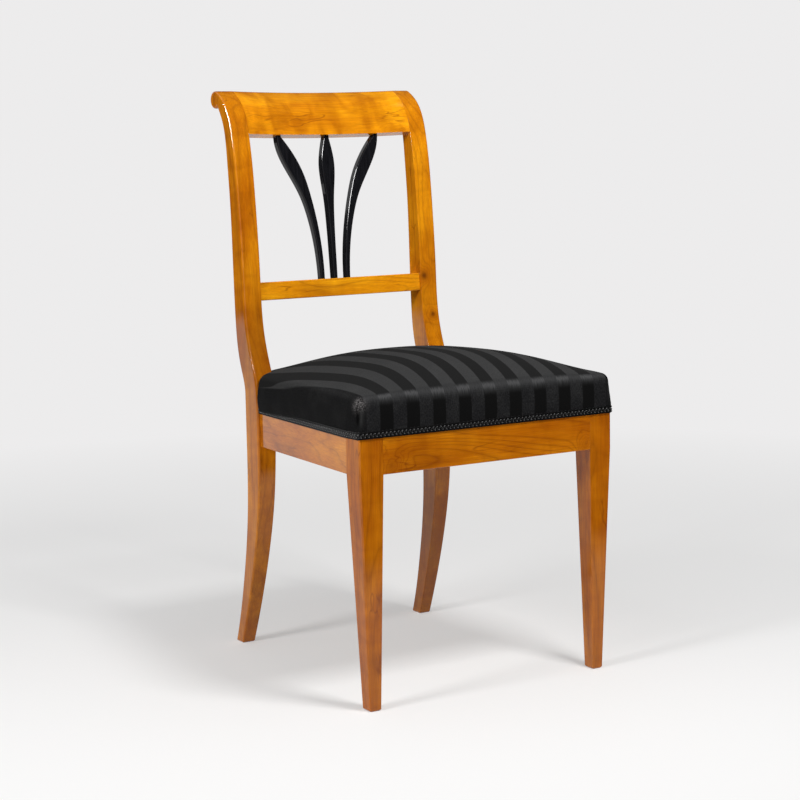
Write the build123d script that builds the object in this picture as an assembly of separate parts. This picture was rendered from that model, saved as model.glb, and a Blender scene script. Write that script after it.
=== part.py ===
"""Biedermeier side chair with ebonised fan splats and a stuffed-over seat.

Sizes are in millimetres. The chair stands on the floor at z = 0 and faces -Y.
While it is modelled, y = 0 is the face of the front rail; at the end every piece
moves together, so that the origin lies under the middle of the whole chair.
"""
from build123d import *
import math
import os

# Overall sizes
SEAT_FRONT_WIDTH = 450.0      # over the front legs
BACK_WIDTH = 370.0            # over the rear posts
BACK_HEIGHT = 911.0           # floor to the top of the scrolls
POST_SETBACK = 394.0          # face of the front rail to the front of the rear posts
SEAT_FALL = 9.4               # drop of the seat over that distance

# Seat rails
RAIL_BOTTOM = 350.0           # floor to the front rail
RAIL_HEIGHT = 68.0
RAIL_THICKNESS = 24.0
RAIL_EASE = 1.2               # rounding of the two lower arrises
SIDE_RAIL_INSET_FRONT = 2.0   # side rail's face inside the leg's outer face
SIDE_RAIL_INSET_REAR = 5.0    # side rail's face inside the post's outer face
BACK_RAIL_INSET = 8.5         # back rail's rear face in front of the posts' rear face

# Front legs
LEG_WIDTH = 40.0
LEG_DEPTH = 38.0
FOOT_WIDTH = 19.0
FOOT_DEPTH = 21.5
FOOT_INSET_SIDE = 13.0        # how far the outer face tapers in
FOOT_INSET_FRONT = 6.0        # how far the front face tapers in
LEG_ROUND = 2.5               # outer front arris
LEG_EASE = 0.6                # the other arrises
FOOT_CHAMFER = 2.0

# Rear posts, seen from the side as a front and a rear curve that lean back
POST_WIDTH = 32.4
POST_DEPTH = 42.5             # at the seat
POST_FOOT_NARROWING = 10.0    # how far the inner face tapers out towards the floor
POST_ROUND = 3.0              # outer arrises
POST_EASE = 1.0               # inner arrises
POST_FLAT_BELOW = 6.0         # upright stretch below the rails
POST_FLAT_ABOVE = 12.0        # upright stretch above the rails
FOOT_LEAN_FRONT = 76.0        # front curve at the floor, behind the seat stretch
FOOT_LEAN_REAR = 57.5         # rear curve at the floor, behind the seat stretch
FOOT_SPLAY = 22.0             # degrees
SCROLL_RADIUS = 14.0
SCROLL_SETBACK = 123.0        # scroll's middle behind the front of the posts
SCROLL_FRONT_ANGLE = 115.0    # where the front curve runs on to the scroll, degrees
SCROLL_NOTCH_ANGLE = -132.0   # where the rear curve meets the scroll, degrees
SCROLL_NOTCH_SLOPE = 37.0     # rear curve's lean at the notch, degrees
# Each curve point: share of the way up the stretch, share of the lean at its far end
LEG_FRONT_CURVE = ((0.39, 0.3987), (0.746, 0.0566))
LEG_REAR_CURVE = ((0.3, 0.4626), (0.657, 0.0783))
BACK_FRONT_CURVE = ((0.119, 0.126), (0.213, 0.2455), (0.378, 0.3065), (0.641, 0.387),
                    (0.837, 0.5016), (0.935, 0.6455))
BACK_REAR_CURVE = ((0.08, 0.087), (0.146, 0.1732), (0.245, 0.2236), (0.378, 0.248),
                   (0.641, 0.2878), (0.772, 0.3374), (0.888, 0.4244))

# Rails of the back, both bowed backwards
BACK_BOW = 12.0
BOW_OVERRUN = 1.1             # share of the bow that is turned before its ends are trimmed
CREST_HEIGHT = 70.0           # top of the scroll to the front lower arris
CREST_TILT = 13.0             # degrees
CREST_SETBACK = 64.0          # front lower arris behind the front of the posts
MIDDLE_RAIL_TOP = 601.0
MIDDLE_RAIL_HEIGHT = 29.5
MIDDLE_RAIL_THICKNESS = 24.0
MIDDLE_RAIL_SETBACK = 42.7    # its front face behind the front of the posts
MIDDLE_RAIL_TILT = 5.0        # degrees
MIDDLE_RAIL_EASE = 1.5

# Fan splats. Each curve point: share of the way up, shares of the spread or of the leaf's half width
SPLAT_THICKNESS = 14.0
SPLAT_ROUND = 2.5
SPLAT_SPREAD = 96.3           # middle of the back to the outer edge of a side splat
SPLAT_LEAF_WIDTH = 24.4       # centre splat's leaf
SPLAT_SIDE_CURVE = ((0.0, 0.2118, 0.2939), (0.25, 0.242, 0.3427), (0.42, 0.3032, 0.4258),
                    (0.59, 0.3956, 0.5649), (0.755, 0.5265, 0.7861), (0.88, 0.6937, 0.9408),
                    (1.0, 0.919, 1.0))
SPLAT_CENTRE_CURVE = ((0.0, 0.336), (0.25, 0.385), (0.42, 0.459), (0.59, 0.656), (0.755, 0.992),
                      (0.81, 1.0), (0.9, 0.77), (1.0, 0.311))

# Joints
TENON_THICKNESS = 9.0
TENON_SHOULDER = 12.0         # above and below each seat rail tenon
TENON_LENGTH = 20.0
TENON_WALL = 3.0              # wood left between two tenons in one post or leg
TENON_CLEARANCE = 0.1
TENON_ROOT = 4.0              # overlap with the piece that carries the tenon
CREST_TENON_HEIGHT = 36.0
CREST_TENON_RISE = 26.0       # tenon's middle above the crest's underside
MIDDLE_TENON_HEIGHT = 18.0
SPLAT_TENON_WIDTH = 5.0
SPLAT_TENON_THICKNESS = 8.0
SPLAT_TENON_LENGTH = 9.0
BLOCK_REACH = 46.0            # along each rail from the leg or post
BLOCK_HEIGHT = 34.0
BLOCK_DROP = 10.0             # below the top of the rails
BLOCK_CLEARANCE = 0.2

# Webbing, in two interlaced sets on top of the rails
STRAP_WIDTH = 50.0
STRAP_THICKNESS = 1.6
LAYER_GAP = 0.1               # between crossing straps, hessian and stuffing
STRAP_RAMP = 10.0             # length over which a strap climbs
STRAP_LAP = 19.0              # how far a strap's end lies on its rail
LENGTHWISE_STRAPS = 4
LENGTHWISE_PITCH = 72.0
CROSSWISE_STRAPS = 4
CROSSWISE_PITCH = 86.0
CROSSWISE_MIDDLE = 213.0      # front rail's face to the middle of this set
TACKS_PER_END = 3
TACK_PITCH = 17.0
TACK_EDGE = 9.0               # strap's end to the row of tacks
TACK_HEAD = 5.0
TACK_HEAD_THICKNESS = 0.8
TACK_SHANK = 1.6
TACK_LENGTH = 12.0
TACK_CLEARANCE = 0.1
HESSIAN_THICKNESS = 0.8
HESSIAN_INSET = 8.0           # hessian's edge inside the cover

# Upholstery
COVER_THICKNESS = 1.2
COVER_GAP = 0.2               # between cover and frame, and cover and stuffing
POST_GAP = 0.4                # between upholstery and rear posts
SHOW_WOOD = 54.0              # rail left bare below the braid
SEAT_CORNER = 17.0            # corner radius where the sides have drawn in
SHOULDER_RISE = 24.0          # rails' top to the height of that corner
EDGE_RISE = 46.0              # rails' top to the seat's edge
EDGE_ROUND = 12.0
CROWN_RISE = 46.0             # seat's edge to the top of the crown
CROWN_CURVE = (0.054, 0.87, 1.0, 0.924, 0.685, 0.174)   # shares of that rise, spaced evenly front to rear
BRAID_HEIGHT = 11.6
BRAID_THICKNESS = 2.0

# Values that follow from the sizes above
RAIL_TOP = RAIL_BOTTOM + RAIL_HEIGHT
SLOPE = SEAT_FALL / POST_SETBACK
HALF_FRONT = SEAT_FRONT_WIDTH / 2
LEG_INNER = HALF_FRONT - LEG_WIDTH
POST_OUTER = BACK_WIDTH / 2
POST_INNER = POST_OUTER - POST_WIDTH
POST_REAR = POST_SETBACK + POST_DEPTH
BACK_RAIL_REAR = POST_REAR - BACK_RAIL_INSET
BACK_RAIL_FRONT = BACK_RAIL_REAR - RAIL_THICKNESS
FLAT_LOW = RAIL_BOTTOM - SEAT_FALL - POST_FLAT_BELOW
FLAT_HIGH = RAIL_TOP - SEAT_FALL + POST_FLAT_ABOVE
SIDE_FRONT_X = HALF_FRONT - SIDE_RAIL_INSET_FRONT
SIDE_REAR_X = POST_OUTER - SIDE_RAIL_INSET_REAR
SIDE_ANGLE = math.atan2(SIDE_FRONT_X - SIDE_REAR_X, POST_SETBACK - LEG_DEPTH)
BOW_RADIUS = (POST_INNER ** 2 + BACK_BOW ** 2) / (2 * BACK_BOW)
FAR = 2 * BACK_HEIGHT         # larger than the chair, for cutting blocks
BOTTOM = (Align.CENTER, Align.CENTER, Align.MIN)


def seat_plane(height):
    """Plane parallel to the sloping seat, at the given height over the front rail's face."""
    return Plane(origin=(0, 0, height), x_dir=(1, 0, 0), z_dir=(0, SLOPE, 1))


def side_rail_x(y, inset=0.0):
    """Distance of a side rail's outer face, or a face inset from it, from the middle of the chair."""
    return SIDE_FRONT_X - (y - LEG_DEPTH) * math.tan(SIDE_ANGLE) - inset / math.cos(SIDE_ANGLE)


def below(solid, plane):
    return split(solid, bisect_by=plane, keep=Keep.BOTTOM)


def above(solid, plane):
    return split(solid, bisect_by=plane, keep=Keep.TOP)


def prism(points, low, high):
    """Upright prism over a plan outline, trimmed to two heights over the sloping seat's datum."""
    face = make_face(Polyline(*points, close=True))
    solid = extrude(Pos(0, 0, low - SEAT_FALL - RAIL_HEIGHT) * face, FAR)
    return above(below(solid, seat_plane(high)), seat_plane(low))


def tongue(plane, thickness, height, length, grow=0.0):
    """Tenon that starts inside its own piece and runs out along the plane's normal."""
    block = Box(thickness + 2 * grow, height + 2 * grow, length + grow + TENON_ROOT,
                align=(Align.CENTER, Align.CENTER, Align.MIN))
    return plane * Pos(0, 0, -TENON_ROOT) * block


def mirrored(solid):
    return mirror(solid, about=Plane.YZ)


# Rear posts

def post_outline():
    """Side view of a rear post from the sabre foot to the scroll."""
    back_rise = BACK_HEIGHT - FLAT_HIGH
    splay = math.radians(FOOT_SPLAY)
    foot_direction = (-math.sin(splay), math.cos(splay))
    notch_lean = math.radians(SCROLL_NOTCH_SLOPE)
    scroll = Vector(POST_SETBACK + SCROLL_SETBACK, BACK_HEIGHT - SCROLL_RADIUS)

    def on_scroll(angle):
        turn = math.radians(angle)
        return scroll + Vector(math.cos(turn), math.sin(turn)) * SCROLL_RADIUS

    def leg_points(face, curve, foot_lean):
        points = [(face + foot_lean, 0)]
        points += [(face + lean * foot_lean, share * FLAT_LOW) for share, lean in curve]
        return points + [(face, FLAT_LOW)]

    def back_points(face, curve, last):
        points = [(face, FLAT_HIGH)]
        points += [(face + lean * SCROLL_SETBACK, FLAT_HIGH + share * back_rise) for share, lean in curve]
        return points + [(last.X, last.Y)]

    front_end = on_scroll(SCROLL_FRONT_ANGLE)
    notch = on_scroll(SCROLL_NOTCH_ANGLE)
    front_turn = math.radians(SCROLL_FRONT_ANGLE)
    front_direction = (math.sin(front_turn), -math.cos(front_turn))
    notch_direction = (math.sin(notch_lean), math.cos(notch_lean))
    upright = (0, 1)

    front_leg = Spline(*leg_points(POST_SETBACK, LEG_FRONT_CURVE, FOOT_LEAN_FRONT),
                       tangents=(foot_direction, upright))
    rear_leg = Spline(*leg_points(POST_REAR, LEG_REAR_CURVE, FOOT_LEAN_REAR),
                      tangents=(foot_direction, upright))
    front_back = Spline(*back_points(POST_SETBACK, BACK_FRONT_CURVE, front_end),
                        tangents=(upright, front_direction))
    rear_back = Spline(*back_points(POST_REAR, BACK_REAR_CURVE, notch),
                       tangents=(upright, notch_direction))
    half_way = on_scroll((SCROLL_FRONT_ANGLE + SCROLL_NOTCH_ANGLE) / 2)
    roll = ThreePointArc(front_end, half_way, notch)
    front_flat = Line((POST_SETBACK, FLAT_LOW), (POST_SETBACK, FLAT_HIGH))
    rear_flat = Line((POST_REAR, FLAT_LOW), (POST_REAR, FLAT_HIGH))
    sole = Line((POST_SETBACK + FOOT_LEAN_FRONT, 0), (POST_REAR + FOOT_LEAN_REAR, 0))
    return make_face([front_leg, front_flat, front_back, roll, rear_back, rear_flat, rear_leg, sole])


def rear_post():
    """Right-hand post before its mortises are cut."""
    solid = extrude(Plane.YZ.offset(POST_INNER) * post_outline(), POST_WIDTH)
    slant = (FLAT_LOW, 0, POST_FOOT_NARROWING)
    taper = Plane(origin=(POST_INNER, 0, FLAT_LOW), x_dir=(0, 1, 0), z_dir=slant)
    wedge = below(Pos(POST_INNER, POST_SETBACK, 0) * Box(2 * POST_WIDTH, FAR, 2 * FLAT_LOW), taper)
    solid -= wedge
    solid = chamfer(solid.faces().sort_by(Axis.Z)[0].edges(), FOOT_CHAMFER)
    middle = POST_OUTER - POST_WIDTH / 2
    outer = [edge for edge in solid.edges() if is_long_arris(edge) and edge.center().X > middle]
    solid = fillet(outer, POST_ROUND)
    inner = [edge for edge in solid.edges() if is_long_arris(edge) and edge.center().X < middle]
    return fillet(inner, POST_EASE)


def is_long_arris(edge):
    """True for the edges that follow the post's outline, and not for those across it or on the floor."""
    start, end = edge @ 0, edge @ 1
    across = abs(start.X - end.X) > POST_WIDTH / 2
    return not across and abs(start.Z - end.Z) > SCROLL_RADIUS


# Front legs

def leg_section(x0, x1, y0, y1, height):
    """Plan section of the right-hand front leg with its arrises rounded."""
    face = Pos((x0 + x1) / 2, (y0 + y1) / 2) * Rectangle(x1 - x0, y1 - y0)
    face = fillet(face.vertices().sort_by_distance((x1, y0))[0], LEG_ROUND)
    others = [face.vertices().sort_by_distance(corner)[0] for corner in ((x0, y0), (x0, y1), (x1, y1))]
    return Pos(0, 0, height) * fillet(others, LEG_EASE)


def front_leg():
    """Right-hand leg: an upright block at the rails and a tapering shaft below."""
    top = leg_section(LEG_INNER, HALF_FRONT, 0, LEG_DEPTH, RAIL_BOTTOM)
    foot_outer = HALF_FRONT - FOOT_INSET_SIDE
    foot_front = FOOT_INSET_FRONT
    foot_inner = foot_outer - FOOT_WIDTH
    foot_rear = foot_front + FOOT_DEPTH
    foot = leg_section(foot_inner, foot_outer, foot_front, foot_rear, FOOT_CHAMFER)
    sole = leg_section(foot_inner + FOOT_CHAMFER, foot_outer - FOOT_CHAMFER,
                       foot_front + FOOT_CHAMFER, foot_rear - FOOT_CHAMFER, 0)
    block = below(extrude(top, 2 * RAIL_HEIGHT), seat_plane(RAIL_TOP))
    shaft = loft([foot, top], ruled=True)
    tip = loft([sole, foot], ruled=True)
    return block + shaft + tip


# Seat rails, each with a list of its tenons on the right-hand side

def rail_middle(y):
    """Height of the middle of the seat rails at a distance from the front."""
    return RAIL_BOTTOM + RAIL_HEIGHT / 2 - SLOPE * y


RAIL_TENON_HEIGHT = RAIL_HEIGHT - 2 * TENON_SHOULDER
FRONT_TENON_Y = RAIL_THICKNESS / 2
BACK_TENON_Y = BACK_RAIL_REAR - RAIL_THICKNESS / 2


def front_rail_tenon(grow=0.0):
    origin = (LEG_INNER, FRONT_TENON_Y, rail_middle(FRONT_TENON_Y))
    plane = Plane(origin=origin, x_dir=(0, 1, 0), z_dir=(1, 0, 0))
    return tongue(plane, TENON_THICKNESS, RAIL_TENON_HEIGHT, TENON_LENGTH, grow)


def back_rail_tenon(grow=0.0):
    origin = (POST_INNER, BACK_TENON_Y, rail_middle(BACK_TENON_Y))
    plane = Plane(origin=origin, x_dir=(0, 1, 0), z_dir=(1, 0, 0))
    return tongue(plane, TENON_THICKNESS, RAIL_TENON_HEIGHT, TENON_LENGTH, grow)


def side_rail_tenon(y, direction, room, grow=0.0):
    """Tenon at one end of the right-hand side rail: direction -1 is the front, 1 the rear."""
    lean = Vector(-math.sin(SIDE_ANGLE), math.cos(SIDE_ANGLE), 0)
    thickness = Vector(math.cos(SIDE_ANGLE), math.sin(SIDE_ANGLE), 0)
    origin = (side_rail_x(y, RAIL_THICKNESS / 2), y, rail_middle(y))
    plane = Plane(origin=origin, x_dir=thickness, z_dir=lean * direction)
    return tongue(plane, TENON_THICKNESS, RAIL_TENON_HEIGHT, room - TENON_WALL, grow)


def side_front_tenon(grow=0.0):
    room = LEG_DEPTH - FRONT_TENON_Y - TENON_THICKNESS / 2
    return side_rail_tenon(LEG_DEPTH, -1, room, grow)


def side_rear_tenon(grow=0.0):
    room = BACK_TENON_Y - TENON_THICKNESS / 2 - POST_SETBACK
    return side_rail_tenon(POST_SETBACK, 1, room, grow)


def seat_rail(outline):
    """Rail over a plan outline, with its two long lower arrises rounded."""
    rail = prism(outline, RAIL_BOTTOM, RAIL_TOP)
    underside = rail.faces().sort_by(Axis.Z)[0]
    return fillet(underside.edges().sort_by(SortBy.LENGTH)[-2:], RAIL_EASE)


def front_rail():
    return seat_rail([(-LEG_INNER, 0), (LEG_INNER, 0),
                      (LEG_INNER, RAIL_THICKNESS), (-LEG_INNER, RAIL_THICKNESS)])


def back_rail():
    return seat_rail([(-POST_INNER, BACK_RAIL_FRONT), (POST_INNER, BACK_RAIL_FRONT),
                      (POST_INNER, BACK_RAIL_REAR), (-POST_INNER, BACK_RAIL_REAR)])


def side_rail():
    """Right-hand side rail between the front leg and the rear post."""
    ends = (LEG_DEPTH, POST_SETBACK)
    outer = [(side_rail_x(y), y) for y in ends]
    inner = [(side_rail_x(y, RAIL_THICKNESS), y) for y in reversed(ends)]
    return seat_rail(outer + inner)


def corner_block(corner, along_cross_rail, along_side_rail):
    """Right-hand glue block: it fills a corner and leaves room for the leg or post."""
    top = RAIL_TOP - BLOCK_DROP
    return prism([along_cross_rail] + corner + [along_side_rail], top - BLOCK_HEIGHT, top)


def front_block():
    leg_face = LEG_INNER - BLOCK_CLEARANCE
    leg_rear = LEG_DEPTH + BLOCK_CLEARANCE
    reach = leg_rear + BLOCK_REACH
    corner = [(leg_face, RAIL_THICKNESS), (leg_face, leg_rear),
              (side_rail_x(leg_rear, RAIL_THICKNESS), leg_rear)]
    return corner_block(corner, (leg_face - BLOCK_REACH, RAIL_THICKNESS),
                        (side_rail_x(reach, RAIL_THICKNESS), reach))


def rear_block():
    post_face = POST_INNER - BLOCK_CLEARANCE
    post_front = POST_SETBACK - BLOCK_CLEARANCE
    reach = post_front - BLOCK_REACH
    corner = [(post_face, BACK_RAIL_FRONT), (post_face, post_front),
              (side_rail_x(post_front, RAIL_THICKNESS), post_front)]
    return corner_block(corner, (post_face - BLOCK_REACH, BACK_RAIL_FRONT),
                        (side_rail_x(reach, RAIL_THICKNESS), reach))


# Rails of the back

def bow_at(x):
    """How far a rail of the back lies behind its ends, at a distance from the middle."""
    return BACK_BOW - BOW_RADIUS + math.sqrt(BOW_RADIUS ** 2 - x ** 2)


def tilted(tilt):
    """Directions square to a tilted rail: backwards through it, and up along it."""
    turn = math.radians(tilt)
    return Vector(0, math.cos(turn), -math.sin(turn)), Vector(0, math.sin(turn), math.cos(turn))


def bowed(profile, reference, tilt):
    """Rail between the posts: its end profile turned about a far axis in front of the chair."""
    back, up = tilted(tilt)
    pivot = Axis(reference + back * (BACK_BOW - BOW_RADIUS), up)
    half_turn = BOW_OVERRUN * math.degrees(math.asin(POST_INNER / BOW_RADIUS))
    start = (Pos(*(back * BACK_BOW)) * profile).rotate(pivot, -half_turn)
    solid = revolve(start, pivot, 2 * half_turn)
    return solid & Box(2 * POST_INNER, FAR, FAR)


def crest_profile():
    """The posts' side view above the crest rail's slanting underside."""
    corner = Vector(0, POST_SETBACK + CREST_SETBACK, BACK_HEIGHT - CREST_HEIGHT)
    underside = Plane(origin=corner, x_dir=(1, 0, 0), z_dir=tilted(CREST_TILT)[1])
    return above(Plane.YZ * post_outline(), underside)


def crest_seat():
    """Middle of the crest rail's underside at its ends."""
    return crest_profile().edges().sort_by(Axis.Z)[0].center()


def middle_rail_seat():
    """Middle of the middle rail's top at its ends."""
    return Vector(0, POST_SETBACK + MIDDLE_RAIL_SETBACK + MIDDLE_RAIL_THICKNESS / 2, MIDDLE_RAIL_TOP)


def crest_tenon(grow=0.0):
    back, up = tilted(CREST_TILT)
    origin = crest_seat() + up * CREST_TENON_RISE + Vector(POST_INNER, 0, 0)
    return tongue(Plane(origin=origin, x_dir=back, z_dir=(1, 0, 0)), TENON_THICKNESS, CREST_TENON_HEIGHT,
                  TENON_LENGTH, grow)


def middle_tenon(grow=0.0):
    back, up = tilted(MIDDLE_RAIL_TILT)
    origin = middle_rail_seat() - up * (MIDDLE_RAIL_HEIGHT / 2) + Vector(POST_INNER, 0, 0)
    return tongue(Plane(origin=origin, x_dir=back, z_dir=(1, 0, 0)), TENON_THICKNESS, MIDDLE_TENON_HEIGHT,
                  TENON_LENGTH, grow)


def crest_rail():
    return bowed(crest_profile(), crest_seat(), CREST_TILT)


def middle_rail():
    back, up = tilted(MIDDLE_RAIL_TILT)
    seat = middle_rail_seat()
    section = Plane(origin=seat - up * (MIDDLE_RAIL_HEIGHT / 2), x_dir=back, z_dir=(1, 0, 0))
    profile = RectangleRounded(MIDDLE_RAIL_THICKNESS, MIDDLE_RAIL_HEIGHT, MIDDLE_RAIL_EASE)
    return bowed(section * profile, seat, MIDDLE_RAIL_TILT)


# Splats

def splat_plane(low_x, high_x):
    """Plane of a splat that stands on the middle rail and reaches the crest rail, and its length."""
    low = middle_rail_seat() + tilted(MIDDLE_RAIL_TILT)[0] * bow_at(low_x)
    high = crest_seat() + tilted(CREST_TILT)[0] * bow_at(high_x)
    rise = high - low
    return Plane(origin=low, x_dir=(1, 0, 0), z_dir=(0, -rise.Z, rise.Y)), rise.length


def splat_board(left, right, low_x, high_x):
    """Board with two curved edges, cut to the rail below it and the crest rail above it."""
    plane, length = splat_plane(low_x, high_x)
    left_points = [(x, share * length) for share, x in left]
    right_points = [(x, share * length) for share, x in right]
    ends = []
    for points in (left_points, right_points):
        (x_low, _), (x_high, top) = points[0], points[-1]
        ends.append(((x_low, -SPLAT_TENON_LENGTH), (x_high, top + SPLAT_TENON_LENGTH)))
    (left_low, left_high), (right_low, right_high) = ends
    outline = [Spline(*left_points), Spline(*right_points),
               Polyline(left_points[0], left_low, right_low, right_points[0]),
               Polyline(left_points[-1], left_high, right_high, right_points[-1])]
    board = extrude(plane * make_face(outline), SPLAT_THICKNESS / 2, both=True)
    rail_top = Plane(origin=middle_rail_seat(), x_dir=(1, 0, 0), z_dir=tilted(MIDDLE_RAIL_TILT)[1])
    underside = Plane(origin=crest_seat(), x_dir=(1, 0, 0), z_dir=tilted(CREST_TILT)[1])
    board = above(below(board, underside), rail_top)
    return fillet(board.edges().filter_by(lambda edge: edge.length > length / 2), SPLAT_ROUND)


def splat_tenons(low_x, high_x, grow=0.0):
    plane, length = splat_plane(low_x, high_x)
    up = plane.y_dir
    sizes = (SPLAT_TENON_WIDTH, SPLAT_TENON_THICKNESS, SPLAT_TENON_LENGTH, grow)
    low_end = plane.origin + Vector(low_x, 0, 0)
    high_end = plane.origin + up * length + Vector(high_x, 0, 0)
    low = tongue(Plane(origin=low_end, x_dir=(1, 0, 0), z_dir=-up), *sizes)
    high = tongue(Plane(origin=high_end, x_dir=(1, 0, 0), z_dir=up), *sizes)
    return low, high


def side_splat_ends():
    (_, inner_low, outer_low), (_, inner_high, outer_high) = SPLAT_SIDE_CURVE[0], SPLAT_SIDE_CURVE[-1]
    return SPLAT_SPREAD * (inner_low + outer_low) / 2, SPLAT_SPREAD * (inner_high + outer_high) / 2


def side_splat():
    inner = [(share, inner * SPLAT_SPREAD) for share, inner, outer in SPLAT_SIDE_CURVE]
    outer = [(share, outer * SPLAT_SPREAD) for share, inner, outer in SPLAT_SIDE_CURVE]
    return splat_board(inner, outer, *side_splat_ends())


def centre_splat():
    right = [(share, half * SPLAT_LEAF_WIDTH / 2) for share, half in SPLAT_CENTRE_CURVE]
    left = [(share, -half) for share, half in right]
    return splat_board(left, right, 0, 0)


# Webbing

def interlaced(start, end, crossings, first_high):
    """Side view of a strap that goes over every other strap that it crosses."""
    step = STRAP_THICKNESS + LAYER_GAP
    line = [(start, 0)]
    for number, middle in enumerate(crossings):
        if (number % 2 == 0) == first_high:
            line += [(middle - STRAP_WIDTH / 2 - STRAP_RAMP, 0), (middle - STRAP_WIDTH / 2, step),
                     (middle + STRAP_WIDTH / 2, step), (middle + STRAP_WIDTH / 2 + STRAP_RAMP, 0)]
    line.append((end, 0))
    upper = [(along, height + STRAP_THICKNESS) for along, height in reversed(line)]
    return make_face(Polyline(*line, *upper, close=True))


def spread(count, pitch):
    """Places of evenly spaced things on both sides of a middle."""
    return [(number - (count - 1) / 2) * pitch for number in range(count)]


LENGTHWISE_X = spread(LENGTHWISE_STRAPS, LENGTHWISE_PITCH)
CROSSWISE_Y = [CROSSWISE_MIDDLE + place for place in spread(CROSSWISE_STRAPS, CROSSWISE_PITCH)]
LENGTHWISE_ENDS = (RAIL_THICKNESS - STRAP_LAP, BACK_RAIL_FRONT + STRAP_LAP)


def crosswise_end(y):
    return side_rail_x(y, RAIL_THICKNESS - STRAP_LAP)


def lengthwise_straps():
    side_view = Plane(origin=(0, 0, 0), x_dir=(0, 1, 0), z_dir=(1, 0, 0))
    straps = []
    for number, x in enumerate(LENGTHWISE_X):
        face = interlaced(*LENGTHWISE_ENDS, CROSSWISE_Y, number % 2 == 0)
        straps.append(Pos(x, 0, 0) * extrude(side_view * face, STRAP_WIDTH / 2, both=True))
    return [seat_plane(RAIL_TOP) * strap for strap in straps]


def crosswise_straps():
    straps = []
    for number, y in enumerate(CROSSWISE_Y):
        end = crosswise_end(y)
        face = interlaced(-end, end, LENGTHWISE_X, number % 2 == 1)
        straps.append(Pos(0, y, 0) * extrude(Plane.XZ * face, STRAP_WIDTH / 2, both=True))
    return [seat_plane(RAIL_TOP) * strap for strap in straps]


def tack_places():
    """Plan places of the tacks at both ends of every strap."""
    offsets = spread(TACKS_PER_END, TACK_PITCH)
    front, rear = LENGTHWISE_ENDS
    places = []
    for x in LENGTHWISE_X:
        places += [(x + offset, y) for offset in offsets for y in (front + TACK_EDGE, rear - TACK_EDGE)]
    for y in CROSSWISE_Y:
        end = crosswise_end(y) - TACK_EDGE
        places += [(x, y + offset) for offset in offsets for x in (-end, end)]
    return places


def tacks():
    head = Pos(0, 0, STRAP_THICKNESS) * Cylinder(TACK_HEAD / 2, TACK_HEAD_THICKNESS, align=BOTTOM)
    shank = Pos(0, 0, STRAP_THICKNESS - TACK_LENGTH) * Cylinder(TACK_SHANK / 2, TACK_LENGTH, align=BOTTOM)
    tack = head + shank
    return [seat_plane(RAIL_TOP) * Pos(x, y, 0) * tack for x, y in tack_places()]


def tack_holes():
    hole = Cylinder(TACK_SHANK / 2 + TACK_CLEARANCE, 2 * TACK_LENGTH)
    return [seat_plane(RAIL_TOP) * Pos(x, y, 0) * hole for x, y in tack_places()]


# Upholstery

def seat_outline(half_front, half_behind_legs, grow, corner):
    """Plan as wide as the front legs, then tapering to the back rail, with its corners rounded."""
    rear = BACK_RAIL_REAR + grow
    half_rear = side_rail_x(rear) + grow
    points = [(-half_front, -grow), (half_front, -grow), (half_behind_legs, LEG_DEPTH), (half_rear, rear),
              (-half_rear, rear), (-half_behind_legs, LEG_DEPTH)]
    face = make_face(Polyline(*points, close=True))
    corners = [face.vertices().sort_by_distance(points[number])[0] for number in (0, 1, 3, 4)]
    return fillet(corners, corner + grow)


def frame_outline(grow, corner=LEG_ROUND):
    """Plan of the seat frame, grown by a distance: it follows the legs, then the side rails."""
    return seat_outline(HALF_FRONT + grow, HALF_FRONT + grow, grow, corner)


def crown_outline(grow):
    """Plan of the seat above its drawn-in sides, which run straight from front to rear."""
    half_front = HALF_FRONT + grow
    rear = BACK_RAIL_REAR + grow
    taper = (half_front - side_rail_x(rear) - grow) / (rear + grow)
    return seat_outline(half_front, half_front - taper * (LEG_DEPTH + grow), grow, SEAT_CORNER)


def wall(outline, low, high):
    """Upright body over an outline, between two heights of the sloping seat."""
    return loft([seat_plane(low) * outline, seat_plane(high) * outline], ruled=True)


def crown_section(y, rise, grow, lower):
    """Upright section across the seat, arched over its two edges and a little wider than the seat."""
    half = side_rail_x(y) + grow
    radius = (half ** 2 + rise ** 2) / (2 * rise)
    reach = half + EDGE_ROUND
    top = RAIL_TOP + EDGE_RISE - lower - SLOPE * y + rise
    side = top - radius + math.sqrt(radius ** 2 - reach ** 2)
    arch = ThreePointArc((-reach, side), (0, top), (reach, side))
    rest = Polyline((reach, side), (reach, RAIL_BOTTOM), (-reach, RAIL_BOTTOM), (-reach, side))
    return Plane.XZ.offset(-y) * make_face([arch, rest])


def dome(grow, lower):
    """Block under the seat's crown, longer and wider than the seat."""
    step = (BACK_RAIL_REAR + EDGE_ROUND + grow) / (len(CROWN_CURVE) - 1)
    places = [number * step - grow for number in range(len(CROWN_CURVE))]
    sections = [crown_section(y, share * CROWN_RISE, grow, lower) for y, share in zip(places, CROWN_CURVE)]
    return loft(sections) + extrude(sections[0], EDGE_ROUND)


def seat_form(grow, bottom, lower):
    """Body of the seat: a band over the rails, sides that draw in, a rounded edge and the crown."""
    shoulder = RAIL_TOP + SHOULDER_RISE
    frame = frame_outline(grow)
    crown = crown_outline(grow)
    rings = ((RAIL_BOTTOM, frame), (RAIL_TOP, frame), (shoulder, crown), (BACK_HEIGHT, crown))
    pillar = loft([seat_plane(height) * outline for height, outline in rings], ruled=True)
    body = above(pillar & dome(grow, lower), seat_plane(bottom))
    level = seat_plane((shoulder + RAIL_TOP + EDGE_RISE) / 2)

    def is_rim(edge):
        return min(level.to_local_coords(edge @ share).Z for share in (0, 0.5, 1)) > 0

    return fillet(body.edges().filter_by(is_rim), EDGE_ROUND - lower)


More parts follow.
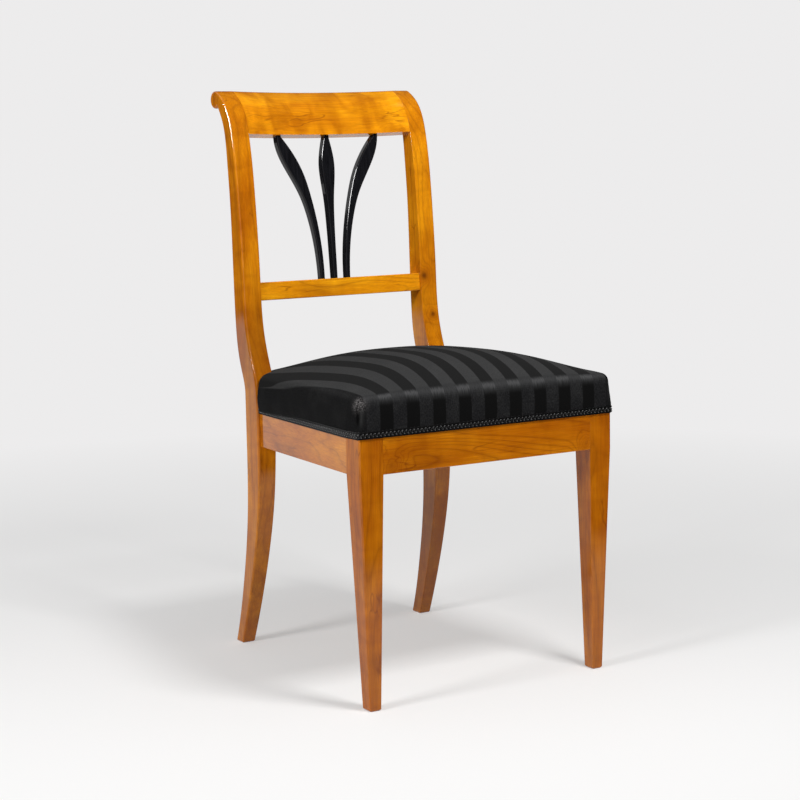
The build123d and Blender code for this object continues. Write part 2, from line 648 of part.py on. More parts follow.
def post_room():
    """Space that the upholstery leaves for the two rear posts."""
    block = Box(FAR, FAR, FAR, align=(Align.MIN, Align.MIN, Align.CENTER))
    right = Pos(POST_INNER - POST_GAP, POST_SETBACK - POST_GAP, 0) * block
    return right + mirrored(right)


COVER_BOTTOM = RAIL_BOTTOM + SHOW_WOOD
HESSIAN_BOTTOM = RAIL_TOP + 2 * (STRAP_THICKNESS + LAYER_GAP)
HESSIAN_TOP = HESSIAN_BOTTOM + HESSIAN_THICKNESS


def seat_cover():
    outside = seat_form(COVER_GAP + COVER_THICKNESS, COVER_BOTTOM, 0)
    inside = seat_form(COVER_GAP, RAIL_BOTTOM, COVER_THICKNESS)
    return outside - inside - post_room()


def stuffing():
    return seat_form(0, HESSIAN_TOP + LAYER_GAP, COVER_THICKNESS + COVER_GAP) - post_room()


def hessian():
    outline = frame_outline(-HESSIAN_INSET, SEAT_CORNER)
    return wall(outline, HESSIAN_BOTTOM, HESSIAN_TOP) - post_room()


def braid_ring():
    inner = frame_outline(COVER_GAP + COVER_THICKNESS)
    outer = frame_outline(COVER_GAP + COVER_THICKNESS + BRAID_THICKNESS)
    top = COVER_BOTTOM + BRAID_HEIGHT
    return wall(outer, COVER_BOTTOM, top) - wall(inner, COVER_BOTTOM, top)


def seat_braid():
    """Length round the front and both sides, up to the posts."""
    return braid_ring() & Box(FAR, 2 * (POST_SETBACK - POST_GAP), FAR)


def back_braid():
    """Length across the back rail, between the posts."""
    room = Box(2 * (POST_INNER - POST_GAP), FAR, FAR, align=(Align.CENTER, Align.MIN, Align.CENTER))
    return braid_ring() & Pos(0, POST_SETBACK, 0) * room


# Assembly

def pair(name, solid):
    return {f"{name}_left": mirrored(solid), f"{name}_right": solid}


def build():
    """All pieces by name, with their tenons and mortises cut."""
    clearance = TENON_CLEARANCE
    holes = tack_holes()
    side_ends = side_splat_ends()
    low_tenon, high_tenon = splat_tenons(*side_ends)
    centre_low, centre_high = splat_tenons(0, 0)
    low_mortise, high_mortise = splat_tenons(*side_ends, clearance)
    centre_low_mortise, centre_high_mortise = splat_tenons(0, 0, clearance)

    post = rear_post() - [side_rear_tenon(clearance), back_rail_tenon(clearance), crest_tenon(clearance),
                          middle_tenon(clearance)]
    leg = front_leg() - [front_rail_tenon(clearance), side_front_tenon(clearance)]
    side = side_rail() + side_front_tenon() + side_rear_tenon()
    front = front_rail() + front_rail_tenon() + mirrored(front_rail_tenon())
    back = back_rail() + back_rail_tenon() + mirrored(back_rail_tenon())
    crest = crest_rail() + crest_tenon() + mirrored(crest_tenon())
    crest -= [high_mortise, mirrored(high_mortise), centre_high_mortise]
    middle = middle_rail() + middle_tenon() + mirrored(middle_tenon())
    middle -= [low_mortise, mirrored(low_mortise), centre_low_mortise]
    side_board = side_splat() + low_tenon + high_tenon

    pieces = {}
    pieces.update(pair("rear_post", post))
    pieces.update(pair("front_leg", leg))
    pieces.update({name: rail - holes for name, rail in pair("side_seat_rail", side).items()})
    pieces["front_seat_rail"] = front - holes
    pieces["back_seat_rail"] = back - holes
    pieces["crest_rail"] = crest
    pieces["middle_rail"] = middle
    pieces.update(pair("splat", side_board))
    pieces["splat_centre"] = centre_splat() + centre_low + centre_high
    pieces.update(pair("corner_block_front", front_block()))
    pieces.update(pair("corner_block_rear", rear_block()))
    pieces["webbing_lengthwise"] = Compound([strap - holes for strap in lengthwise_straps()])
    pieces["webbing_crosswise"] = Compound([strap - holes for strap in crosswise_straps()])
    pieces["webbing_tacks"] = Compound(tacks())
    pieces["hessian"] = hessian()
    pieces["stuffing"] = stuffing()
    pieces["seat_cover"] = seat_cover()
    pieces["seat_braid"] = seat_braid()
    pieces["back_braid"] = back_braid()
    return pieces


def main():
    pieces = build()
    bounds = Compound([solid for piece in pieces.values() for solid in piece.solids()]).bounding_box()
    origin = Pos(0, -bounds.center().Y, 0)
    os.makedirs("parts", exist_ok=True)
    for name, piece in pieces.items():
        solids = (origin * piece).solids()
        print(name, len(solids))
        export_step(solids[0] if len(solids) == 1 else Compound(solids), f"parts/{name}.step")
    print("size", bounds.size, "moved by", -bounds.center().Y)


if __name__ == "__main__":
    main()
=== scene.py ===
# %% [markdown]
# A biedermeier chair: cherry frame, ebonised splats, black striped seat.
# The wooden frame comes from the CAD model as it is and only gets its finish here.
# The seat cover and its braid are soft, so they are modelled in this file and stand
# for the plain solids that the CAD model holds in their place.

# %% The frame
import math

import bpy
import numpy as np
from mathutils import Matrix, Vector


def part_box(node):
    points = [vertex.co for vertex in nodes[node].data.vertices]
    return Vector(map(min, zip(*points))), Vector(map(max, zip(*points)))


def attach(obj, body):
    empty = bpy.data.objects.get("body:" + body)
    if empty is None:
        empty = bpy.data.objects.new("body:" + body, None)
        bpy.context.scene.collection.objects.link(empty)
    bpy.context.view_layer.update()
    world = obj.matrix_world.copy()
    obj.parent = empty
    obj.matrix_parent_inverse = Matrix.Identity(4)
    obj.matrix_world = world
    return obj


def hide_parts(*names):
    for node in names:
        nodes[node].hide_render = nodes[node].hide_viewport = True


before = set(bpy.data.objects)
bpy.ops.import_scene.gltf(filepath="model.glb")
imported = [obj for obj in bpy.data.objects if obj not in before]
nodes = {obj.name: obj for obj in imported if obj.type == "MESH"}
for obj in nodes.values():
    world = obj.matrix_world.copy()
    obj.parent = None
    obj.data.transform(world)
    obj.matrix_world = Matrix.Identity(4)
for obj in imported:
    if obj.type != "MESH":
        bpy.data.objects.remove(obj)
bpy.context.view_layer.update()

# %% [markdown]
# The camera stands where the photographer stood: in front of the chair, to its left and
# a little above the seat, with a long lens. The tiny roll is part of the photograph.

# %% Camera
CAMERA_PLACE = (-1.5937, -2.6375, 0.8288)
CAMERA_TURN = (82.339, 1.041, -31.42)    # degrees
SENSOR = 36                              # mm
LENS = 87.35                             # mm
bpy.ops.object.select_all(action="DESELECT")
bpy.ops.object.camera_add(location=CAMERA_PLACE, rotation=[math.radians(angle) for angle in CAMERA_TURN])
camera = bpy.context.object
camera.name = "photo_camera"
camera.data.sensor_width = SENSOR
camera.data.lens = LENS
bpy.context.scene.camera = camera
print("camera:", round(camera.data.lens, 1), "mm lens")

# %% [markdown]
# Materials are built from nodes. These helpers keep each recipe short. The first ones make
# a material and set or link the sockets of its nodes.

# %% Node helpers


def new_finish(name):
    """A material, its node tree and its main shader."""
    material = bpy.data.materials.new(name)
    material.use_nodes = True
    return material, material.node_tree, material.node_tree.nodes["Principled BSDF"]


def full_colour(colour):
    """A colour with its alpha, from three numbers or from one grey number."""
    return (colour, colour, colour, 1) if isinstance(colour, (int, float)) else (*colour, 1)


def plug(tree, socket, value):
    """Links a socket to another node's output, or sets its value."""
    if isinstance(value, bpy.types.NodeSocket):
        tree.links.new(value, socket)
    else:
        socket.default_value = full_colour(value) if socket.type == "RGBA" else value


def set_shader(tree, shader, values):
    """Links or sets sockets of the main shader by name."""
    for name, value in values.items():
        plug(tree, shader.inputs[name], value)


def add_node(tree, kind, settings=None, **sockets):
    """Adds a node, with its menu settings and its sockets by name."""
    node = tree.nodes.new(kind)
    for key, value in (settings or {}).items():
        setattr(node, key, value)
    for key, value in sockets.items():
        plug(tree, node.inputs[key], value)
    return node


print("node helpers ready")

# %% [markdown]
# The next helpers each wrap one node, or a few that always come together: sums, mixed
# colours, colour ramps, noise and relief.

# %% Pattern helpers


def calc(tree, operation, first, second=0.0, clamped=False):
    """One calculation with one or two values."""
    node = add_node(tree, "ShaderNodeMath", {"operation": operation, "use_clamp": clamped})
    plug(tree, node.inputs[0], first)
    plug(tree, node.inputs[1], second)
    return node.outputs[0]


def rest_of(tree, value):
    """What a value lacks to one."""
    return calc(tree, "SUBTRACT", 1.0, value)


def bell(tree, value):
    """One where a value is zero, falling smoothly to nothing on both sides."""
    squared = calc(tree, "MULTIPLY", value, value)
    return calc(tree, "EXPONENT", calc(tree, "MULTIPLY", squared, -1.0))


def blend(tree, share, first, second, mode="MIX"):
    """Two colours mixed by a share of the second."""
    node = add_node(tree, "ShaderNodeMix", {"data_type": "RGBA", "blend_type": mode})
    plug(tree, node.inputs[0], share)
    plug(tree, node.inputs[6], first)
    plug(tree, node.inputs[7], second)
    return node.outputs[2]


def ramp(tree, share, stops):
    """Colour ramp from (place, colour) stops."""
    node = add_node(tree, "ShaderNodeValToRGB", Fac=share)
    elements = node.color_ramp.elements
    while len(elements) < len(stops):
        elements.new(0.5)
    for element, (place, colour) in zip(elements, stops):
        element.position = place
        element.color = full_colour(colour)
    return node.outputs[0]


def object_place(tree):
    """Object coordinates, in metres."""
    return add_node(tree, "ShaderNodeTexCoord").outputs["Object"]


def placed(tree, scale=(1, 1, 1), turn=(0, 0, 0), shift=(0, 0, 0)):
    """Object coordinates, turned, moved and scaled."""
    turned = [math.radians(angle) for angle in turn]
    return add_node(tree, "ShaderNodeMapping", Vector=object_place(tree), Location=shift, Rotation=turned,
                    Scale=scale).outputs[0]


def noise(tree, place, scale, detail=2.0, rough=0.5, warp=0.0):
    """Cloudy values between zero and one."""
    node = add_node(tree, "ShaderNodeTexNoise", Vector=place, Scale=scale, Detail=detail, Roughness=rough,
                    Distortion=warp)
    return node.outputs["Fac"]


def relief(tree, shader, height, strength, distance, sockets=("Normal",)):
    """Fine relief of the surface from a height."""
    bump = add_node(tree, "ShaderNodeBump", Height=height, Strength=strength, Distance=distance)
    for name in sockets:
        plug(tree, shader.inputs[name], bump.outputs[0])


print("pattern helpers ready")

# %% [markdown]
# The wood is cherry under French polish: honey amber with soft growth rings, fine fibres
# and a clear, even gloss. Rings are the contour lines of a noise that is stretched along the
# grain, so they close into arches and loops as sawn wood does. A knot is a bump in
# that same noise, so the rings flow round it.

# %% Figure of the wood
X, Y, Z = 0, 1, 2
GOLD = (0.84, 0.335, 0.006)
HONEY = (0.70, 0.240, 0.003)
AMBER = (0.56, 0.165, 0.002)
RUSSET = (0.40, 0.085, 0.002)
UMBER = (0.20, 0.042, 0.002)
KNOT_CORE = (0.07, 0.014, 0.002)
RAGGED = 45.0                            # how finely the rim of a spot is torn


def spot_near(tree, centre, radius):
    """One in the middle of a spot, falling to nothing round it, with a ragged rim."""
    place = object_place(tree)
    stir = add_node(tree, "ShaderNodeTexNoise", Vector=place, Scale=RAGGED, Detail=2.0).outputs["Color"]
    moved = add_node(tree, "ShaderNodeVectorMath", {"operation": "MULTIPLY_ADD"})
    plug(tree, moved.inputs[0], stir)
    moved.inputs[1].default_value = (radius, radius, radius)
    plug(tree, moved.inputs[2], place)
    away = add_node(tree, "ShaderNodeVectorMath", {"operation": "DISTANCE"})
    plug(tree, away.inputs[0], moved.outputs[0])
    away.inputs[1].default_value = [value + radius / 2 for value in centre]
    return bell(tree, calc(tree, "DIVIDE", away.outputs["Value"], radius))


def late_wood(tree, grain, rings, knots):
    """One on the dark lines of the growth rings."""
    growth = noise(tree, grain(11.0, 0.15), 1.0, 2.0, 0.45, 0.4)
    for centre, radius, _depth in knots:
        swirl = calc(tree, "MULTIPLY", spot_near(tree, centre, 1.3 * radius), 0.30)
        growth = calc(tree, "ADD", growth, swirl)
    line = calc(tree, "PINGPONG", calc(tree, "MULTIPLY", growth, rings), 0.5)
    return ramp(tree, line, [(0.0, 1.0), (0.06, 0.5), (0.26, 0.0)])


def vein_lines(tree, grain):
    """One on thin veins that come and go."""
    drift = noise(tree, grain(24.0, 0.18), 1.0, 3.0, 0.5, 0.5)
    line = calc(tree, "ABSOLUTE", calc(tree, "SUBTRACT", drift, 0.5))
    present = ramp(tree, noise(tree, grain(30.0, 0.6), 1.0), [(0.48, 0.0), (0.60, 1.0)])
    return calc(tree, "MULTIPLY", ramp(tree, line, [(0.0, 1.0), (0.010, 0.0)]), present)


def darkened(tree, colour, mark, strength, dark):
    """A colour that turns darker where a mark is."""
    return blend(tree, calc(tree, "MULTIPLY", mark, strength), colour, dark)


print("cherry runs from", GOLD, "to", UMBER)

# %% [markdown]
# The recipe lays these marks over each other: clouds of colour first, then rings, fibres, a
# slanting shimmer, pores and veins, then the knots, stains and painted shade of one piece of
# wood, and last its tone, which holds painted light too.
# The wood itself is dull: all its gloss is the polish, which is the shader's coat.

# %% Cherry recipe


def cherry(name, along, turn=(0, 0, 0), shift=(0, 0, 0), tone_and_painted_light=1.0, rings=12.0, figure=0.34, flame=0.35,
           veins=0.5, knots=(), stains_and_shade=()):
    """Polished cherry with its grain along one axis of the turned object coordinates."""
    material, tree, shader = new_finish(name)

    def grain(across, ratio):
        """Coordinates for a pattern that is drawn out along the grain."""
        scale = [across] * 3
        scale[along] = across * ratio
        return placed(tree, scale, turn, shift)

    cloud = noise(tree, grain(22.0, 0.30), 1.0, 3.0, 0.6)
    colour = ramp(tree, cloud, [(0.30, AMBER), (0.50, HONEY), (0.72, GOLD)])
    colour = darkened(tree, colour, late_wood(tree, grain, rings, knots), figure, UMBER)

    fibre = noise(tree, grain(420.0, 0.02), 1.0, 4.0, 0.7)
    tint = ramp(tree, fibre, [(0.32, (0.80, 0.74, 0.66)), (0.68, (1.09, 1.11, 1.10))])
    colour = blend(tree, 0.8, colour, tint, "MULTIPLY")
    hair = noise(tree, grain(1500.0, 0.012), 1.0, 2.0, 0.6)
    tint = ramp(tree, hair, [(0.30, (0.82, 0.76, 0.70)), (0.70, (1.07, 1.08, 1.06))])
    colour = blend(tree, 0.7, colour, tint, "MULTIPLY")
    slant = placed(tree, (30.0, 14.0, 14.0) if along == X else (16.0, 16.0, 40.0), (0, 38, 0), shift)
    shimmer = ramp(tree, noise(tree, slant, 1.0, 2.0, 0.5, 0.6),
                   [(0.34, (0.74, 0.66, 0.55)), (0.50, 1.0), (0.66, (1.15, 1.22, 1.3))])
    colour = blend(tree, flame, colour, shimmer, "MULTIPLY")

    streaks = ramp(tree, noise(tree, grain(150.0, 0.018), 1.0, 3.0, 0.6), [(0.30, 1.0), (0.46, 0.0)])
    pores = ramp(tree, noise(tree, grain(1100.0, 0.05), 1.0, 1.0), [(0.33, 1.0), (0.38, 0.0)])
    for mark, strength in ((streaks, 0.10), (pores, 0.12), (vein_lines(tree, grain), veins)):
        colour = darkened(tree, colour, mark, strength, UMBER)
    for centre, radius, depth in knots:
        colour = darkened(tree, colour, spot_near(tree, centre, 1.4 * radius), 0.5, RUSSET)
        colour = darkened(tree, colour, spot_near(tree, centre, 0.5 * radius), depth, KNOT_CORE)
    # Stains, and painted shade where a part lies in shade.
    for centre, radius, depth in stains_and_shade:
        colour = darkened(tree, colour, spot_near(tree, centre, radius), depth, UMBER)
    # The piece's tone, which also holds painted light: darker low down, lighter high up.
    colour = blend(tree, 1.0, colour, (tone_and_painted_light, tone_and_painted_light ** 1.5, tone_and_painted_light ** 1.5), "MULTIPLY")

    dull = ramp(tree, fibre, [(0.2, 0.45), (0.8, 0.35)])
    set_shader(tree, shader, {"Base Color": colour, "Roughness": dull, "Specular IOR Level": 0.0,
                              "Coat Weight": 1.0, "Coat Roughness": 0.05, "Coat IOR": 1.42})
    waves = noise(tree, placed(tree), 14.0, 1.0)
    height = calc(tree, "ADD", calc(tree, "MULTIPLY", fibre, 0.10), waves)
    relief(tree, shader, height, 0.10, 0.002, ("Normal", "Coat Normal"))
    return material


def dress(material, *names):
    """Puts one finish on CAD nodes and leaves their shapes alone."""
    for name in names:
        nodes[name].data.materials.clear()
        nodes[name].data.materials.append(material)
    print(material.name, "on", ", ".join(names))


print("cherry recipe ready")

# %% [markdown]
# Each piece of the frame gets wood of its own, because a joiner cuts them from different
# places of the plank: its own shift in the pattern and its own tone. The tones also hold
# painted light: the low pieces are darker and the crest and middle rail lighter, as the lamp
# above lights them. Knots, stains and painted shade are given as a centre, a radius and a
# depth, in the chair's own metres.

# %% Cherry on the frame
front_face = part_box("front_seat_rail")[0][1]
# Painted shade: the post's second stain darkens its leg under the seat; the first darkens it just above
# the seat.
dress(cherry("cherry_post_left", Z, shift=(0.3, 0.0, 0.1), tone_and_painted_light=0.88,
             stains_and_shade=(((-0.17, 0.14, 0.49), 0.085, 0.60), ((-0.17, 0.18, 0.10), 0.20, 0.2))),
      "rear_post_left")
# Painted shade: the stain darkens the leg under the seat.
dress(cherry("cherry_post_right", Z, shift=(0.9, 0.4, 0.6), tone_and_painted_light=1.0,
             knots=(((0.159, 0.163, 0.598), 0.012, 0.8), ((0.172, 0.157, 0.532), 0.009, 0.8)),
             stains_and_shade=(((0.17, 0.18, 0.12), 0.26, 0.75),)), "rear_post_right")
# Painted shade: the front legs' low tones darken them, as the lamp above lights them less.
dress(cherry("cherry_leg_left", Z, shift=(0.6, 0.2, 0.3), tone_and_painted_light=0.67), "front_leg_left")
dress(cherry("cherry_leg_right", Z, shift=(0.1, 0.7, 0.8), tone_and_painted_light=0.66), "front_leg_right")
# Painted light: the high tones of the crest and middle rail lighten them, as the lamp above lights them
# more.
dress(cherry("cherry_crest", X, shift=(0.5, 0.2, 0.4), tone_and_painted_light=1.16, rings=8.0, figure=0.18, flame=0.9,
             veins=0.7, knots=(((-0.092, 0.196, 0.834), 0.008, 0.8),)), "crest_rail")
dress(cherry("cherry_middle_rail", X, shift=(0.2, 0.9, 0.1), tone_and_painted_light=1.18, rings=18.0, figure=0.4, veins=0.6),
      "middle_rail")
# Painted shade: the front rail's low tone darkens it, as the lamp above lights it less.
dress(cherry("cherry_front_rail", X, (0, 12, 0), (0.8, 0.3, 0.5), tone_and_painted_light=0.76, rings=18.0, figure=0.45,
             veins=0.6, stains_and_shade=(((-0.13, front_face, 0.36), 0.05, 0.3),),
             knots=(((-0.172, front_face, 0.362), 0.017, 0.2), ((0.176, front_face, 0.356), 0.012, 0.1))),
      "front_seat_rail")
dress(cherry("cherry_back_rail", X, shift=(0.4, 0.6, 0.9), tone_and_painted_light=0.85), "back_seat_rail")
dress(cherry("cherry_side_left", Y, (0, 0, -6.9), (0.7, 0.5, 0.2), tone_and_painted_light=0.84), "side_seat_rail_left")
dress(cherry("cherry_side_right", Y, (0, 0, 6.9), (0.2, 0.1, 0.6), tone_and_painted_light=0.9), "side_seat_rail_right")

# %% [markdown]
# The splats are ebonised: stained black, then polished until they mirror the lamps in thin
# lines along their rounded edges. A hint of the grain is left in the gloss.

# %% Ebonised splats
ebony, tree, shader = new_finish("ebonised_polish")
pull = noise(tree, placed(tree, (300.0, 300.0, 14.0)), 1.0, 2.0)
stain = ramp(tree, pull, [(0.3, (0.004, 0.004, 0.005)), (0.7, (0.009, 0.009, 0.011))])
set_shader(tree, shader, {"Base Color": stain, "Roughness": ramp(tree, pull, [(0.3, 0.16), (0.7, 0.24)]),
                          "Specular IOR Level": 0.02, "Coat Weight": 0.5, "Coat Roughness": 0.03})
relief(tree, shader, noise(tree, placed(tree), 40.0, 1.0), 0.05, 0.002)
dress(ebony, "splat_left", "splat_centre", "splat_right")

# %% [markdown]
# Under the seat the chair is plain: sawn corner blocks and blued iron tacks. Saw marks are a
# noise that is squeezed along one axis, and rust is a fine one.

# %% Blocks and tacks
pine, tree, shader = new_finish("sawn_block")
saw_marks = noise(tree, placed(tree, (60.0, 60.0, 300.0)), 1.0, 3.0)
sawn = ramp(tree, saw_marks, [(0.3, (0.36, 0.21, 0.09)), (0.7, (0.56, 0.37, 0.18))])
set_shader(tree, shader, {"Base Color": sawn, "Roughness": 0.75})
relief(tree, shader, saw_marks, 0.4, 0.001)
dress(pine, "corner_block_front_left", "corner_block_front_right",
      "corner_block_rear_left", "corner_block_rear_right")

iron, tree, shader = new_finish("blued_iron")
rust = noise(tree, placed(tree), 400.0, 2.0)
blued = ramp(tree, rust, [(0.35, (0.02, 0.022, 0.03)), (0.7, (0.09, 0.06, 0.05))])
set_shader(tree, shader, {"Base Color": blued, "Roughness": ramp(tree, rust, [(0.3, 0.35), (0.7, 0.6)]),
                          "Metallic": 0.9})
dress(iron, "webbing_tacks")

# %% [markdown]
# Webbing and hessian are woven of jute. A weave is two sets of waves, one across the other,
# and a noise makes the threads uneven.

# %% Jute


def weave(tree, pitch):
    """Height of a plain weave: warp and weft threads that pass over each other."""
    waves = math.tau / pitch
    place = add_node(tree, "ShaderNodeSeparateXYZ", Vector=placed(tree, (waves, waves, waves)))
    across, along = (calc(tree, "SINE", calc(tree, "MULTIPLY", place.outputs[axis], 0.5)) for axis in "XY")
    return calc(tree, "ADD", calc(tree, "MULTIPLY", calc(tree, "MULTIPLY", across, along), 0.5), 0.5)


def jute(name, pitch, dark, light):
    """Coarse cloth of uneven threads."""
    material, tree, shader = new_finish(name)
    slub = noise(tree, placed(tree, (90.0, 90.0, 90.0)), 1.0, 3.0)
    threads = calc(tree, "MULTIPLY", weave(tree, pitch), 0.6)
    height = calc(tree, "ADD", threads, calc(tree, "MULTIPLY", slub, 0.4))
    set_shader(tree, shader, {"Base Color": ramp(tree, height, [(0.25, dark), (0.75, light)]),
                              "Roughness": 0.95, "Sheen Weight": 0.2})
    relief(tree, shader, height, 0.7, 0.001)
    return material


dress(jute("jute_webbing", 0.0026, (0.20, 0.13, 0.06), (0.47, 0.34, 0.19)),
      "webbing_lengthwise", "webbing_crosswise")
dress(jute("hessian_cloth", 0.0018, (0.17, 0.11, 0.05), (0.40, 0.29, 0.16)), "hessian")

# %% [markdown]
# The seat is stuffed over the rails: cloth drawn over a hair pad and tacked all round under
# the braid. Its front edge is nearly straight and boxed, its crown is full, and at the rear
# it is cut round the posts. A flat grid is laid over that form in rings: the inner rings
# are the crown and the outer ones hang down the sides, so the mesh runs as the cloth does.
# First comes the plan of the seat, taken from the wooden frame that carries it.

# %% Seat plan
leg_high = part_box("front_leg_right")[1]
RAIL_TOP = leg_high[2]
CLOTH_STAND = 0.0014                     # cloth in front of the rails
SEAT_SLOPE = 0.0094 / 0.394              # the seat falls towards the back
SEAT_TAPER = 0.0493                      # the seat's half width is this much less at the back
CROWN_CORNER = 0.0125                    # radius of the front corners on top of the seat
FRAME_CORNER = 0.0039                    # the same where the cloth lies on the frame
FRONT_Y = front_face - CLOTH_STAND
REAR_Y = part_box("seat_cover")[1][1]
LEG_BACK = leg_high[1]
HALF_FRONT = leg_high[0] + CLOTH_STAND
HALF_REAR = HALF_FRONT - SEAT_TAPER
NOTCH_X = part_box("back_braid")[1][0]
NOTCH_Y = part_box("seat_braid")[1][1]


def plan(radius):
    """Right half of the seat's plan as three lines: front, side and rear."""
    centre = (HALF_FRONT - radius, FRONT_Y + radius)
    turns = [math.radians(angle) for angle in range(-90, 1, 5)]
    arc = [(centre[0] + radius * math.cos(turn), centre[1] + radius * math.sin(turn)) for turn in turns]
    share = (NOTCH_Y - LEG_BACK) / (REAR_Y - LEG_BACK)
    side_end = (HALF_FRONT + share * (HALF_REAR - HALF_FRONT), NOTCH_Y)
    half_way = len(arc) // 2
    front = [(0.0, FRONT_Y)] + arc[:half_way + 1]
    side = arc[half_way:] + [(HALF_FRONT, LEG_BACK), side_end, (NOTCH_X, NOTCH_Y)]
    return front, side, [(0.0, REAR_Y), (NOTCH_X, REAR_Y), (NOTCH_X, NOTCH_Y)]


def sloped(height, y):
    """A height at the front rail, carried along the slope of the seat."""
    return height - SEAT_SLOPE * (y - front_face)


CROWN_PLAN = plan(CROWN_CORNER)
FRAME_PLAN = plan(FRAME_CORNER)
print("seat plan:", round(2 * HALF_FRONT, 4), "wide in front,", round(REAR_Y - FRONT_Y, 4), "deep")

# %% [markdown]
# Each point of the grid knows its ring and its place round that ring. The place picks a
# point of the plan, and the ring says how far from the middle towards it, or how far down
# the side. The points crowd towards the corners, where the cloth is pleated.

# %% Grid over the plan
RINGS = 60
TOP_RINGS = 0.68                         # share of the rings that lie on top
bpy.ops.object.select_all(action="DESELECT")
bpy.ops.mesh.primitive_grid_add(x_subdivisions=2 * RINGS, y_subdivisions=2 * RINGS, size=2)
pad = bpy.context.object
pad.name = "seat_pad"
flat = np.empty(3 * len(pad.data.vertices))
pad.data.vertices.foreach_get("co", flat)
flat = flat.reshape(-1, 3)
ring = np.abs(flat[:, :2]).max(axis=1)
lean_x, lean_y = (flat[:, axis] / np.maximum(ring, 1e-9) for axis in (X, Y))
is_side = np.abs(lean_x) > np.abs(lean_y)


def crowd(share):
    """Shares that crowd towards both ends of a line from -1 to 1."""
    return share * (1.35 - 0.35 * share ** 2)


def piece_lengths(line):
    """Lengths of a line's straight pieces."""
    return np.linalg.norm(np.diff(np.array(line), axis=0), axis=1)


def walk(line, shares):
    """Points at the given shares of a line's length."""
    line = np.array(line)
    lengths = np.concatenate([[0.0], np.cumsum(piece_lengths(line))])
    return np.stack([np.interp(shares * lengths[-1], lengths, line[:, axis]) for axis in (X, Y)], axis=1)


def on_plan(lines):
    """The plan's point for each point of the grid."""
    front, side, rear = lines
    across = crowd(np.abs(lean_x))
    found = np.where((lean_y < 0)[:, None], walk(front, across), walk(rear, across))
    found = np.where(is_side[:, None], walk(side, 0.5 + 0.5 * crowd(lean_y)), found)
    found[:, X] *= np.where(lean_x < 0, -1.0, 1.0)
    return found


crown_edge, frame_edge = on_plan(CROWN_PLAN), on_plan(FRAME_PLAN)
print("seat grid:", len(ring), "points")

# %% [markdown]
# The crown rises steeply behind the front edge, is highest before the middle and falls
# slowly to the back. Across the seat it is a plain arch. Near an edge the cloth turns down in a
# quarter round, and a tighter one where it is tucked in at the posts.

# %% Crown of the seat
EDGE_RISE = 0.0465                       # rails' top to the seat's edge
CROWN_RISE = 0.045                       # edge to the top of the crown
CROWN_PEAK = 0.42                        # share of the depth where the crown is highest
REAR_FALL = 0.78                         # share of its rise that it loses towards the back
FRONT_POWER = 3.2                        # a higher power gives a fuller curve
REAR_POWER = 2.3
ARCH_POWER = 2.5
SIDE_ARCH = 0.0025                       # the side edges are a little arched too
EDGE_ROUND = 0.012
POST_ROUND = 0.005
RING_SPREAD = 1.4                        # above one, the rings lie closer near the edge


def clamp(values):
    """Values held between zero and one."""
    return np.clip(values, 0.0, 1.0)


def seat_depth(y):
    """Share of the way from the front edge to the rear one."""
    return clamp((y - FRONT_Y) / (REAR_Y - FRONT_Y))


def rise_at(y):
    """Height of the crown along the middle of the seat."""
    share = seat_depth(y)
    before = 1 - np.abs(1 - share / CROWN_PEAK) ** FRONT_POWER
    behind = 1 - REAR_FALL * (np.abs(share - CROWN_PEAK) / (1 - CROWN_PEAK)) ** REAR_POWER
    return CROWN_RISE * np.where(share < CROWN_PEAK, before, behind)


def distance_to(points, line):
    """Shortest distance from each point to a line of straight pieces."""
    best = np.full(len(points), np.inf)
    for start, end in zip(line[:-1], line[1:]):
        start, run = np.array(start), np.array(end) - np.array(start)
        share = clamp(((points - start) @ run) / max(run @ run, 1e-12))
        best = np.minimum(best, np.linalg.norm(points - start - share[:, None] * run, axis=1))
    return best


def turned_down(distance, radius):
    """Fall of a quarter round at a distance from its edge."""
    inside = clamp(1 - distance / radius)
    return radius * (1 - np.sqrt(1 - inside ** 2))


def seat_height(points):
    """Height of the cloth over points of the plan."""
    mirrored = np.stack([np.abs(points[:, X]), points[:, Y]], axis=1)
    front, side, rear = CROWN_PLAN
    share = seat_depth(points[:, Y])
    half_width = HALF_FRONT + (HALF_REAR - HALF_FRONT) * share
    side_arch = SIDE_ARCH * np.sin(np.pi * share ** 0.6) * (points[:, X] / half_width) ** 2
    arch = 1 - clamp(np.abs(points[:, X] / half_width)) ** ARCH_POWER
    edges = ((front + side[:-1], EDGE_ROUND), (rear[:2], EDGE_ROUND), (rear[1:] + side[-2:-1], POST_ROUND))
    fall = np.max([turned_down(distance_to(mirrored, line), radius) for line, radius in edges], axis=0)
    return sloped(RAIL_TOP + EDGE_RISE, points[:, Y]) + side_arch + rise_at(points[:, Y]) * arch - fall


middle = np.array([0.0, (FRONT_Y + NOTCH_Y) / 2])
out = 1 - (1 - clamp(ring / TOP_RINGS)) ** RING_SPREAD
points = middle + out[:, None] * (crown_edge - middle)
heights = seat_height(points)
print("crown top at", round(float(heights.max()), 4))

# %% [markdown]
# Down the sides the cloth follows the crown's plan first and then the wooden frame's, whose
# corners are sharper. In between it stands out in a slight belly. It ends behind the braid.

